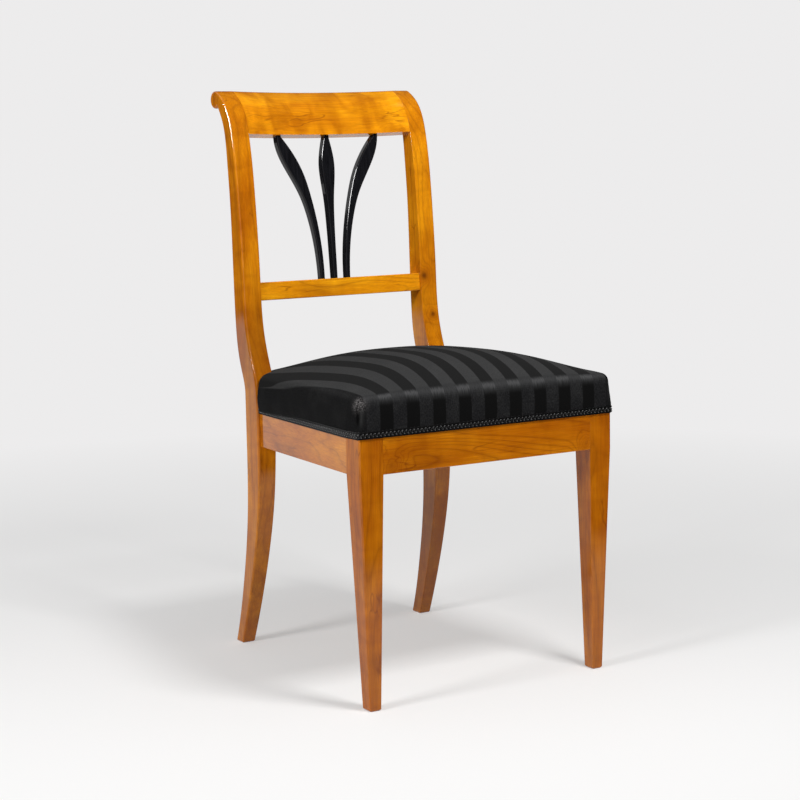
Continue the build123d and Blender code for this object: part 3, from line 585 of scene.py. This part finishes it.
# %% Sides of the seat
CLOTH_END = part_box("seat_braid")[0][2] + SEAT_SLOPE * (NOTCH_Y - front_face)
SHOULDER = 0.024                         # where the sides start to draw in
SIDE_BELLY = 0.0050                      # how far the sides stand out
FRONT_BELLY = 0.0010
BELLY_FADE = 0.002                       # the belly ends over this length at the posts
BELLY_FRONT = 0.2                        # share of it that is left at the front corners
down = clamp((ring - TOP_RINGS) / (1 - TOP_RINGS))
edge_y = frame_edge[:, Y]
rail_height = sloped(RAIL_TOP, edge_y)
end_height = sloped(CLOTH_END, edge_y)
on_side = down > 0
heights = np.where(on_side, heights + down * (end_height - heights), heights)
sharp = clamp(1 - (heights - rail_height) / SHOULDER)
sharp = sharp * sharp * (3 - 2 * sharp)
points = np.where(on_side[:, None], crown_edge + sharp[:, None] * (frame_edge - crown_edge), points)
belly = np.sin(np.pi * down) * clamp((NOTCH_Y - edge_y) / BELLY_FADE)
belly *= np.where(is_side, np.clip((edge_y - FRONT_Y) / (NOTCH_Y - FRONT_Y), BELLY_FRONT, 1.0), 1.0)
points[:, X] += np.where(is_side, SIDE_BELLY * belly * np.sign(lean_x), 0.0)
points[:, Y] -= np.where(~is_side & (lean_y < 0), FRONT_BELLY * belly, 0.0)
shape = np.column_stack([points, heights])
pad.data.vertices.foreach_set("co", shape.ravel())
pad.data.update()
print("cloth ends at", round(float(end_height.max()), 4))

# %% [markdown]
# The cloth's own measure is kept as a UV map, in metres: across the seat and from back to
# front, running on down the edges. Weave and stripes read it.

# %% Cloth measure
rim = np.where(on_side, seat_height(crown_edge), heights)
drop = np.where(on_side, rim - heights, 0.0)
cloth_u = np.where(is_side, points[:, X] + np.sign(points[:, X]) * drop, points[:, X])
cloth_v = np.where(is_side, points[:, Y], points[:, Y] + np.sign(lean_y) * drop)
corners = np.empty(len(pad.data.loops), dtype=np.int32)
pad.data.loops.foreach_get("vertex_index", corners)
measure = pad.data.uv_layers.new(name="cloth")
measure.data.foreach_set("uv", np.column_stack([cloth_u, cloth_v])[corners].ravel())
print("cloth measured over", round(float(np.ptp(cloth_v)), 3), "m")

# %% [markdown]
# Cloth over springy hair never lies in straight planes. A short cloth simulation lets the pad
# press it out from inside while its tacked border is held, so the sides swell a little.
# The movement is capped, because the stuffing is firm.

# %% Hair pressing on the cloth
SWELL = 0.0035                           # most that a point may move
PRESSURE = 14.0
LAST_FRAME = 20
TACKED_FROM = 0.84                       # share of the drop from which the cloth is tacked
FREE_FROM = 0.05                         # share of the drop from which it hangs free
RIM_FROM = 0.93                          # share of the way to the edge where the rim starts
RIM_HOLD, TOP_HOLD = 0.9, 0.7            # how firmly it lies on the stuffing


def pick(piece):
    """Makes one object the only one that the next operators work on."""
    bpy.ops.object.select_all(action="DESELECT")
    piece.select_set(True)
    bpy.context.view_layer.objects.active = piece


pick(pad)
tacked = pad.vertex_groups.new(name="tacked")
lying = np.where(out > RIM_FROM, RIM_HOLD, TOP_HOLD)
hold = np.where(down > TACKED_FROM, 1.0, np.where(down > FREE_FROM, 0.0, lying))
for number, weight in enumerate(hold):
    tacked.add([number], float(weight), "REPLACE")
print("cloth tacked at", int((down > TACKED_FROM).sum()), "points")
bpy.ops.object.modifier_add(type="CLOTH")
cloth = pad.modifiers[-1]
cloth.settings.vertex_group_mass = "tacked"
cloth.settings.use_pressure = True
cloth.settings.uniform_pressure_force = PRESSURE
cloth.settings.effector_weights.gravity = 0.0
for frame_number in range(1, LAST_FRAME + 1):
    bpy.context.scene.frame_set(frame_number)
bpy.ops.object.modifier_apply(modifier=cloth.name)
moved = np.empty(shape.size)
pad.data.vertices.foreach_get("co", moved)
motion = moved.reshape(-1, 3) - shape
length = np.linalg.norm(motion, axis=1)
print("cloth moved", round(float(length.max()) * 1000, 1), "mm at most,",
      round(float(length.mean()) * 1000, 2), "mm on average")
shape = shape + motion * (np.minimum(length, SWELL) / np.maximum(length, 1e-9))[:, None]

# %% [markdown]
# At the front corners the spare cloth is folded into a pleat: a narrow groove just round the
# corner with a raised lip in front of it.

# %% Corner pleats
LIP = (0.0020, -0.0034, 0.0028)          # height, place round the corner and width
GROOVE = (0.0044, 0.0016, 0.0015)        # depth, place round the corner and width
PLEAT_FADE = 0.010                       # drop over which the pleat opens and closes
PLEAT_END = 0.002                        # above the rails
DIAGONAL = 0.707


def fold_line(size, place, width):
    """A rounded line down the cloth at a place round the corner."""
    return size * np.exp(-((round_corner - place) / width) ** 2)


front_length, side_length = (float(piece_lengths(line).sum()) for line in CROWN_PLAN[:2])
round_corner = np.where(is_side, (0.5 + 0.5 * crowd(lean_y)) * side_length,
                        (crowd(np.abs(lean_x)) - 1) * front_length)
lip = fold_line(*LIP)
groove = fold_line(*GROOVE)
open_share = np.where(lean_y < 0.5, clamp(drop / PLEAT_FADE), 0.0)
open_share = open_share * clamp((heights - rail_height - PLEAT_END) / PLEAT_FADE)
outward = np.column_stack([np.sign(lean_x) * DIAGONAL, np.full(len(ring), -DIAGONAL), np.zeros(len(ring))])
shape = shape + ((lip - groove) * open_share)[:, None] * outward
fold = pad.data.attributes.new("fold", "FLOAT", "POINT")
fold_values = (lip / lip.max() - groove / groove.max()) * open_share
fold.data.foreach_set("value", fold_values.astype(np.float32))
pad.data.vertices.foreach_set("co", shape.ravel())
pad.data.update()
print("pleats", round(float((groove * open_share).max()) * 1000, 1), "mm deep")

# %% [markdown]
# The cloth is closed below: its border is turned in behind the braid, drawn up along the
# rails and filled level with the hessian. That happens in edit mode, on the open border.

# %% Closing the pad
TURN_IN = 0.9952                         # scale of the turned-in border
HESSIAN_RISE = 0.0044                    # rails' top to the filled face
SMOOTH_ANGLE = math.radians(50)


def apply_modifier(piece, kind, settings):
    """Adds a modifier to the picked object, sets it up and applies it."""
    bpy.ops.object.modifier_add(type=kind)
    modifier = piece.modifiers[-1]
    for key, value in settings.items():
        setattr(modifier, key, value)
    bpy.ops.object.modifier_apply(modifier=modifier.name)


pick(pad)
apply_modifier(pad, "SUBSURF", {"levels": 1, "render_levels": 1})
bpy.ops.object.mode_set(mode="EDIT")
bpy.ops.mesh.select_mode(type="EDGE")
bpy.ops.mesh.select_all(action="DESELECT")
bpy.ops.mesh.select_non_manifold(extend=False)
bpy.ops.mesh.extrude_region()
bpy.ops.transform.resize(value=(TURN_IN, TURN_IN, 1), center_override=(0, middle[1], 0))
bpy.ops.mesh.extrude_region()
bpy.ops.transform.translate(value=(0, 0, RAIL_TOP + HESSIAN_RISE - CLOTH_END))
bpy.ops.mesh.edge_face_add()
bpy.ops.mesh.select_all(action="SELECT")
bpy.ops.mesh.normals_make_consistent(inside=False)
bpy.ops.object.mode_set(mode="OBJECT")
bpy.ops.object.shade_smooth_by_angle(angle=SMOOTH_ANGLE)
print("seat pad:", len(pad.data.polygons), "faces")

# %% [markdown]
# The cover is black on black: satin stripes on a ribbed ground. They show because the satin
# is darker and smoother than the ground. Outside the last stripes the cloth is plain, in a
# border that grows wider towards the back. Down the sides that border is darkened as
# painted shade.

# %% Stripes and threads
STRIPE_PITCH = 0.0450
STRIPE_HALF = 0.0110
STRIPE_SHIFT = 0.0007                    # the middle stripe is a little off the middle
BORDER_START = 5 * STRIPE_PITCH - STRIPE_HALF
BORDER_LEAN = 0.027                      # how much wider the border is at the back
BORDER_SOFT = 0.0020
RIB_PITCH = 0.0011
cover, tree, shader = new_finish("striped_cover")
cloth_place = add_node(tree, "ShaderNodeUVMap", {"uv_map": "cloth"}).outputs[0]
cloth_axes = add_node(tree, "ShaderNodeSeparateXYZ", Vector=cloth_place).outputs


def thread_noise(tree, across, along, rough=0.5):
    """Noise drawn out along the threads of the cloth."""
    scaled = add_node(tree, "ShaderNodeMapping", Vector=cloth_place, Scale=(across, along, 1.0))
    return noise(tree, scaled.outputs[0], 1.0, 2.0, rough)


shifted = calc(tree, "SUBTRACT", cloth_axes["X"], STRIPE_SHIFT)
from_front = calc(tree, "SUBTRACT", cloth_axes["Y"], FRONT_Y)
back_share = calc(tree, "DIVIDE", from_front, REAR_Y - FRONT_Y, True)
border_edge = calc(tree, "SUBTRACT", BORDER_START, calc(tree, "MULTIPLY", back_share, BORDER_LEAN))
past_edge = calc(tree, "SUBTRACT", calc(tree, "ABSOLUTE", shifted), border_edge)
border = ramp(tree, calc(tree, "DIVIDE", past_edge, BORDER_SOFT), [(0.0, 0.0), (1.0, 1.0)])
striped = rest_of(tree, border)
nearest = calc(tree, "PINGPONG", shifted, STRIPE_PITCH / 2)
satin = ramp(tree, calc(tree, "DIVIDE", nearest, STRIPE_HALF * 2), [(0.485, 1.0), (0.515, 0.0)])
satin = calc(tree, "MULTIPLY", satin, striped)
yarn = thread_noise(tree, 1600.0, 420.0, 0.6)
rib = calc(tree, "SINE", calc(tree, "MULTIPLY", cloth_axes["Y"], math.tau / RIB_PITCH))
print("stripes every", STRIPE_PITCH, "m, each", 2 * STRIPE_HALF, "m wide")

# %% [markdown]
# Use has changed the black: the front edge is worn grey where legs rub it, and the left corner
# is chafed. Light is painted in as well: the top is lighter than the front, the worn front edge
# carries a painted highlight, and the pleats have a painted highlight on the lip and painted
# shade in the groove. Each of these is a mask that mixes another grey into the cloth.

# %% Painted light and wear
TOP_LIGHT_LENGTH = 0.02                       # the painted top light sets in over this length behind the edge
WEAR_AND_HIGHLIGHT_PLACE, WEAR_AND_HIGHLIGHT_WIDTH = 0.0045, 0.0032  # behind the front edge
CHAFED_PLACE = (-HALF_FRONT + 0.006, FRONT_Y + 0.006, RAIL_TOP + EDGE_RISE - 0.010)
CHAFED_RADIUS = 0.009
ground = ramp(tree, yarn, [(0.3, (0.007, 0.007, 0.0075)), (0.7, (0.020, 0.020, 0.021))])
rubbed = ramp(tree, noise(tree, placed(tree), 26.0, 3.0, 0.6), [(0.45, 0.0), (0.75, 0.5)])
ground = blend(tree, rubbed, ground, 0.030)
mottle = ramp(tree, thread_noise(tree, 520.0, 340.0), [(0.3, 0.55), (0.7, 1.35)])
ground = blend(tree, 1.0, ground, mottle, "MULTIPLY")
# Painted shade: the plain border down the sides is darkened.
ground = darkened(tree, ground, border, 0.40, 0.002)
# Painted light: behind the front edge the cloth is lighter than on the front, except in the border.
painted_top_light = ramp(tree, calc(tree, "DIVIDE", from_front, TOP_LIGHT_LENGTH), [(0.0, 0.0), (0.6, 0.45)])
painted_top_light = calc(tree, "MULTIPLY", painted_top_light, striped)
ground = blend(tree, painted_top_light, ground, 0.062)
gleam = blend(tree, painted_top_light, ramp(tree, yarn, [(0.3, 0.0038), (0.7, 0.0072)]), 0.021)
fabric = blend(tree, satin, ground, gleam)

# Painted highlight with wear: a lighter band along the front edge, lightest on the satin stripes.
past_wear_and_highlight = calc(tree, "SUBTRACT", cloth_axes["Y"], FRONT_Y + WEAR_AND_HIGHLIGHT_PLACE)
roll_wear_and_highlight = bell(tree, calc(tree, "DIVIDE", past_wear_and_highlight, WEAR_AND_HIGHLIGHT_WIDTH))
combed = ramp(tree, thread_noise(tree, 900.0, 120.0), [(0.3, 0.25), (0.7, 1.0)])
roll_wear_and_highlight = calc(tree, "MULTIPLY", calc(tree, "MULTIPLY", roll_wear_and_highlight, striped), combed)
roll_wear_and_highlight_colour = blend(tree, satin, (0.045, 0.045, 0.046), (0.085, 0.085, 0.087))
fabric = blend(tree, roll_wear_and_highlight, fabric, roll_wear_and_highlight_colour)
# Painted highlight on the pleats' lips and painted shade in their grooves.
folded = add_node(tree, "ShaderNodeAttribute", {"attribute_name": "fold"}).outputs["Fac"]
fabric = blend(tree, calc(tree, "MULTIPLY", folded, 0.6, True), fabric, 0.035)
fabric = blend(tree, calc(tree, "MULTIPLY", folded, -0.9, True), fabric, 0.001)
flecks = ramp(tree, noise(tree, placed(tree), 600.0, 3.0, 0.6), [(0.42, 0.05), (0.62, 1.0)])
chafed = calc(tree, "MULTIPLY", spot_near(tree, CHAFED_PLACE, CHAFED_RADIUS), flecks)
fabric = blend(tree, chafed, fabric, (0.16, 0.15, 0.15))
print("worn band", WEAR_AND_HIGHLIGHT_WIDTH, "m wide, chafed spot at", [round(float(v), 3) for v in CHAFED_PLACE])

# %% [markdown]
# The shader takes that colour. The satin is smoother than the ground, and its threads lie
# flatter. Neither mirrors anything sharply, so the specular level is zero; the sheen of the
# top and the front edge is painted into the colour instead.

# %% Cover on the seat
GROUND_ROUGH, SATIN_ROUGH = 0.78, 0.50
rough = add_node(tree, "ShaderNodeMix", {"data_type": "FLOAT"})
plug(tree, rough.inputs[0], satin)
rough.inputs[2].default_value = GROUND_ROUGH
rough.inputs[3].default_value = SATIN_ROUGH
set_shader(tree, shader, {"Base Color": fabric, "Roughness": rough.outputs[0], "Specular IOR Level": 0.0,
                          "Sheen Weight": 0.03, "Sheen Roughness": 0.4})
threads = calc(tree, "ADD", calc(tree, "MULTIPLY", rib, 0.5), yarn)
threads = calc(tree, "MULTIPLY", threads, rest_of(tree, calc(tree, "MULTIPLY", satin, 0.8)))
relief(tree, shader, threads, 0.35, 0.0006)
pad.data.materials.append(cover)
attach(pad, "root")
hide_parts("seat_cover", "stuffing")
print("striped cover on", pad.name)

# %% [markdown]
# The braid is a narrow black tape with a cord along each edge. Between the cords a strand
# runs to and fro in a zigzag, with small silk knots. All yarns share one recipe: a fine
# twist in colour and relief. The knots are light grey: painted glints on black silk.

# %% Yarns


def yarn_finish(name, dark, light, roughness):
    """Black silk yarn: fine twist in its colour and relief, with a glint."""
    material, tree, shader = new_finish(name)
    twist = noise(tree, placed(tree), 1500.0, 2.0)
    set_shader(tree, shader, {"Base Color": ramp(tree, twist, [(0.3, dark), (0.75, light)]),
                              "Roughness": roughness, "Specular IOR Level": 0.1})
    relief(tree, shader, twist, 0.4, 0.0004)
    return material


tape_yarn = yarn_finish("black_tape", 0.001, 0.003, 0.8)
cord_yarn = yarn_finish("black_cord", 0.012, 0.045, 0.40)
# Painted glints: the knots are light grey, though the silk is black.
knot_yarn_painted_glint = yarn_finish("silk_knot_painted_glint", 0.045, 0.190, 0.35)
print("yarns:", tape_yarn.name, cord_yarn.name, knot_yarn_painted_glint.name)

# %% [markdown]
# One repeat of the braid is modelled flat at the origin. The tape is a cube without its ends,
# so that neighbours can join, and every cord and knot is a stretched ball.

# %% One repeat of the braid
BRAID_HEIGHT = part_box("back_braid")[1][2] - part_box("back_braid")[0][2]
BRAID_STEP = 0.0066
TAPE_DEPTH = 0.0009
TAPE_HEIGHT = BRAID_HEIGHT - 0.0012
EDGE_HEIGHTS = (0.0024, BRAID_HEIGHT - 0.0013)
MIDDLE_HEIGHT = BRAID_HEIGHT / 2 - 0.0003
EDGE_CORD = (0.0058, 0.0024, 0.0028)     # length, height and depth of each bead
STRAND = (0.0052, 0.0014, 0.0022)
KNOT = (0.0024, 0.0020, 0.0024)
EDGE_TURN = 18                           # degrees
STRAND_TURN = 52
KNOT_FRONT = 0.0010                      # middle of a knot in front of the tape's back
KNOT_RISE = 0.0022                       # by turns above and below the middle
ZIGZAG = ((0.25, 1), (0.75, -1))         # share of the step and direction


def bead(place, size, turn, segments):
    """A stretched bead, turned in the plane of the tape."""
    bpy.ops.mesh.primitive_uv_sphere_add(segments=segments, ring_count=3, radius=0.5, location=place,
                                         rotation=(0, math.radians(90 + turn), 0))
    length, height, depth = size
    bpy.context.object.scale = (height, depth, length)
    bpy.ops.object.shade_smooth()
    return bpy.context.object


def open_tape():
    """The tape over one step along X, without end faces; its back is at y = 0."""
    bpy.ops.object.select_all(action="DESELECT")
    bpy.ops.mesh.primitive_cube_add(size=1, location=(BRAID_STEP / 2, -TAPE_DEPTH / 2, BRAID_HEIGHT / 2))
    tape = bpy.context.object
    bpy.ops.object.mode_set(mode="EDIT")
    bpy.ops.mesh.select_mode(type="FACE")
    bpy.ops.mesh.select_all(action="DESELECT")
    bpy.ops.object.mode_set(mode="OBJECT")
    for face in tape.data.polygons:
        face.select = abs(face.normal.x) > 0.9
    bpy.ops.object.mode_set(mode="EDIT")
    bpy.ops.mesh.delete(type="FACE")
    bpy.ops.object.mode_set(mode="OBJECT")
    tape.scale = (BRAID_STEP, TAPE_DEPTH, TAPE_HEIGHT)
    return tape


def braid_repeat():
    """Tape, edge cords, zigzag and knots, joined into one mesh."""
    tape = open_tape()
    yarns = [(tape, tape_yarn)]
    for height in EDGE_HEIGHTS:
        place = (BRAID_STEP / 2, -TAPE_DEPTH, height)
        yarns.append((bead(place, EDGE_CORD, EDGE_TURN, 6), tape_yarn))
    for share, way in ZIGZAG:
        place = (BRAID_STEP * share, -TAPE_DEPTH, MIDDLE_HEIGHT)
        yarns.append((bead(place, STRAND, way * STRAND_TURN, 4), cord_yarn))
    for share, way in ZIGZAG:
        place = (BRAID_STEP * share, -KNOT_FRONT, MIDDLE_HEIGHT + way * KNOT_RISE)
        yarns.append((bead(place, KNOT, 0, 4), knot_yarn_painted_glint))
    for part, yarn_kind in yarns:
        part.data.materials.append(yarn_kind)
        part.select_set(True)
    bpy.context.view_layer.objects.active = tape
    bpy.ops.object.join()
    bpy.ops.object.transform_apply(location=True, rotation=True, scale=True)
    return tape


print("braid:", round(BRAID_HEIGHT, 4), "m high, one repeat every", BRAID_STEP, "m")

# %% [markdown]
# Two modifiers then do what the weaver and the upholsterer did: an array repeats the piece
# and a curve leads it round the seat. The repeat is stretched a hair first, so that a whole
# number of them fits the line.

# %% Braid round the seat


def lead_line(name, line):
    """A curve through (x, y) points at the height of the cloth's lower edge."""
    path = bpy.data.curves.new(name, "CURVE")
    path.dimensions = "3D"
    path.twist_mode = "Z_UP"
    spline = path.splines.new("POLY")
    spline.points.add(len(line) - 1)
    for point, (x, y) in zip(spline.points, line):
        point.co = (x, y, sloped(CLOTH_END, y), 1)
    lead = bpy.data.objects.new(name, path)
    bpy.context.collection.objects.link(lead)
    return lead


def braid_along(name, line):
    """Repeats of the braid led along a line of (x, y) points."""
    length = float(piece_lengths(line).sum())
    count = round(length / BRAID_STEP)
    step = length / count
    lead = lead_line(name + "_path", line)
    piece = braid_repeat()
    piece.name = name
    piece.data.transform(Matrix.Diagonal((step / BRAID_STEP, 1, 1, 1)))
    apply_modifier(piece, "ARRAY", {"use_relative_offset": False, "use_constant_offset": True,
                                    "constant_offset_displace": (step, 0, 0), "count": count,
                                    "use_merge_vertices": True, "merge_threshold": 1e-5})
    apply_modifier(piece, "CURVE", {"object": lead, "deform_axis": "POS_X"})
    bpy.ops.object.mode_set(mode="EDIT")
    bpy.ops.mesh.select_all(action="SELECT")
    bpy.ops.mesh.fill_holes(sides=4)
    bpy.ops.object.mode_set(mode="OBJECT")
    bpy.data.objects.remove(lead)
    print(name, "has", count, "repeats over", round(length, 3), "m")
    return piece


frame_front, frame_side = FRAME_PLAN[:2]
right_half = frame_front[1:] + frame_side[1:-1]
left_half = [(-x, y) for x, y in reversed(right_half)]
front_braid = braid_along("braid_front_and_sides", left_half + right_half)
rear_braid = braid_along("braid_back", [(NOTCH_X, REAR_Y), (-NOTCH_X, REAR_Y)])

for piece, node in ((front_braid, "seat_braid"), (rear_braid, "back_braid")):
    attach(piece, "root")
    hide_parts(node)

# %% [markdown]
# The studio is a pale floor that fades into a pale background. Seen directly or in a mirror,
# the floor glows more the further it lies from the chair, until it has the background's
# colour. Near the chair its own colour and the shadows show.

# %% Floor
BACKGROUND = (0.845, 0.838, 0.84)
FLOOR_COLOUR = (0.86, 0.855, 0.85)
FLOOR_SIZE = 24
FLOOR_GLOW = 0.32                        # share of the glow under the chair
GLOW_REACH = 4.0                         # metres from the chair


def seen_rays(tree):
    """One for the rays that show the background: camera, mirror and glass rays."""
    path = add_node(tree, "ShaderNodeLightPath")
    seen = calc(tree, "MAXIMUM", path.outputs["Is Camera Ray"], path.outputs["Is Glossy Ray"])
    return calc(tree, "MAXIMUM", seen, path.outputs["Is Transmission Ray"])


def mix_shaders(tree, share, first, second):
    """Two shaders mixed by a share of the second."""
    mixed = add_node(tree, "ShaderNodeMixShader")
    for socket, value in zip(mixed.inputs, (share, first.outputs[0], second.outputs[0])):
        plug(tree, socket, value)
    return mixed.outputs[0]


bpy.ops.object.select_all(action="DESELECT")
bpy.ops.mesh.primitive_plane_add(size=FLOOR_SIZE, location=(0, 0, 0))
floor = bpy.context.object
floor.name = "floor"
paper, tree, shader = new_finish("pale_floor")
set_shader(tree, shader, {"Base Color": FLOOR_COLOUR, "Roughness": 0.9, "Specular IOR Level": 0.1})
from_chair = add_node(tree, "ShaderNodeVectorMath", {"operation": "LENGTH"})
plug(tree, from_chair.inputs[0], object_place(tree))
far = calc(tree, "DIVIDE", from_chair.outputs["Value"], GLOW_REACH)
glow_share = ramp(tree, far, [(0.10, FLOOR_GLOW), (0.62, 1.0)])
glow_colour = ramp(tree, far, [(0.15, 0.97), (0.62, BACKGROUND)])
glow = add_node(tree, "ShaderNodeEmission", Color=glow_colour, Strength=1.0)
surface = mix_shaders(tree, calc(tree, "MULTIPLY", glow_share, seen_rays(tree)), shader, glow)
plug(tree, tree.nodes["Material Output"].inputs["Surface"], surface)
floor.data.materials.append(paper)
print("floor", FLOOR_SIZE, "m wide")

# %% [markdown]
# The room is the world's background. Camera and mirror rays see it in the background's
# colour. For all other rays it is a weaker white light, which leaves the shading to the lamps.

# %% Room
ROOM_LIGHT = 0.30
world = bpy.data.worlds.new("studio")
bpy.context.scene.world = world
world.use_nodes = True
tree = world.node_tree
tree.nodes.clear()
light = add_node(tree, "ShaderNodeBackground", Color=1.0, Strength=ROOM_LIGHT)
behind = add_node(tree, "ShaderNodeBackground", Color=BACKGROUND, Strength=1.0)
surface = mix_shaders(tree, seen_rays(tree), light, behind)
plug(tree, add_node(tree, "ShaderNodeOutputWorld").inputs["Surface"], surface)
print("room light", ROOM_LIGHT)

# %% [markdown]
# Polish mirrors what stands round it, so three dark curtains and a bright card stand about
# the chair where only reflections see them. The curtains keep the faces deep in colour, and
# fade out at the hem, where the polish mirrors the pale floor. The card draws white lines on
# edges that look to the left.

# %% Curtains
HEM = 0.08                               # height over which a curtain fades in
CARD_GLOW = 80.0


def curtain(name, start, end, low, high, material):
    """An upright sheet between two floor points that only reflections see."""
    bpy.ops.mesh.primitive_plane_add(size=1)
    sheet = bpy.context.object
    sheet.name = name
    places = [(*start, low), (*end, low), (*start, high), (*end, high)]
    for vertex, place in zip(sheet.data.vertices, places):
        vertex.co = place
    sheet.data.materials.append(material)
    sheet.visible_camera = False
    sheet.visible_diffuse = False
    sheet.visible_shadow = False
    print(name, "from", low, "to", high, "m")


felt, tree, shader = new_finish("dark_felt")
above_floor = add_node(tree, "ShaderNodeSeparateXYZ", Vector=placed(tree)).outputs["Z"]
hem = ramp(tree, calc(tree, "DIVIDE", above_floor, HEM), [(0.0, 0.0), (1.0, 1.0)])
set_shader(tree, shader, {"Base Color": 0.03, "Roughness": 1.0, "Alpha": hem})
curtain("curtain_front", (-0.10, -0.80), (1.5, -0.76), 0.0, 4.0, felt)
curtain("curtain_right", (1.5, -4.0), (1.5, 4.0), 0.0, 4.5, felt)
curtain("curtain_left", (-2.4, -3.0), (-2.4, 5.0), 0.1, 4.5, felt)
bright, tree, shader = new_finish("bright_card")
set_shader(tree, shader, {"Base Color": 0.0, "Emission Color": 1.0, "Emission Strength": CARD_GLOW})
curtain("card_left", (-2.0, -1.1), (-2.0, 1.1), 1.45, 2.5, bright)

# %% [markdown]
# Two soft lamps light the chair, one in front and above, one at its left. A rectangular lamp
# casts soft shadows, and its mirror image is the bright line on a rounded edge.

# %% Lamps


def soft_lamp(name, place, aim, size, power):
    """A rectangular lamp that faces a point."""
    bpy.ops.object.light_add(type="AREA", location=place)
    lamp = bpy.context.object
    lamp.name = name
    lamp.rotation_euler = (Vector(aim) - Vector(place)).to_track_quat("-Z", "Y").to_euler()
    lamp.data.shape = "RECTANGLE"
    lamp.data.size, lamp.data.size_y = size
    lamp.data.energy = power
    print(name, power, "W")


soft_lamp("front_lamp", (0.24, -1.20, 1.9), (0.0, 0.0, 0.45), (0.45, 0.45), 27)
soft_lamp("left_lamp", (-2.1, -0.45, 1.55), (0.0, 0.0, 0.5), (0.5, 0.5), 26)
bpy.context.scene.view_settings.view_transform = "Standard"
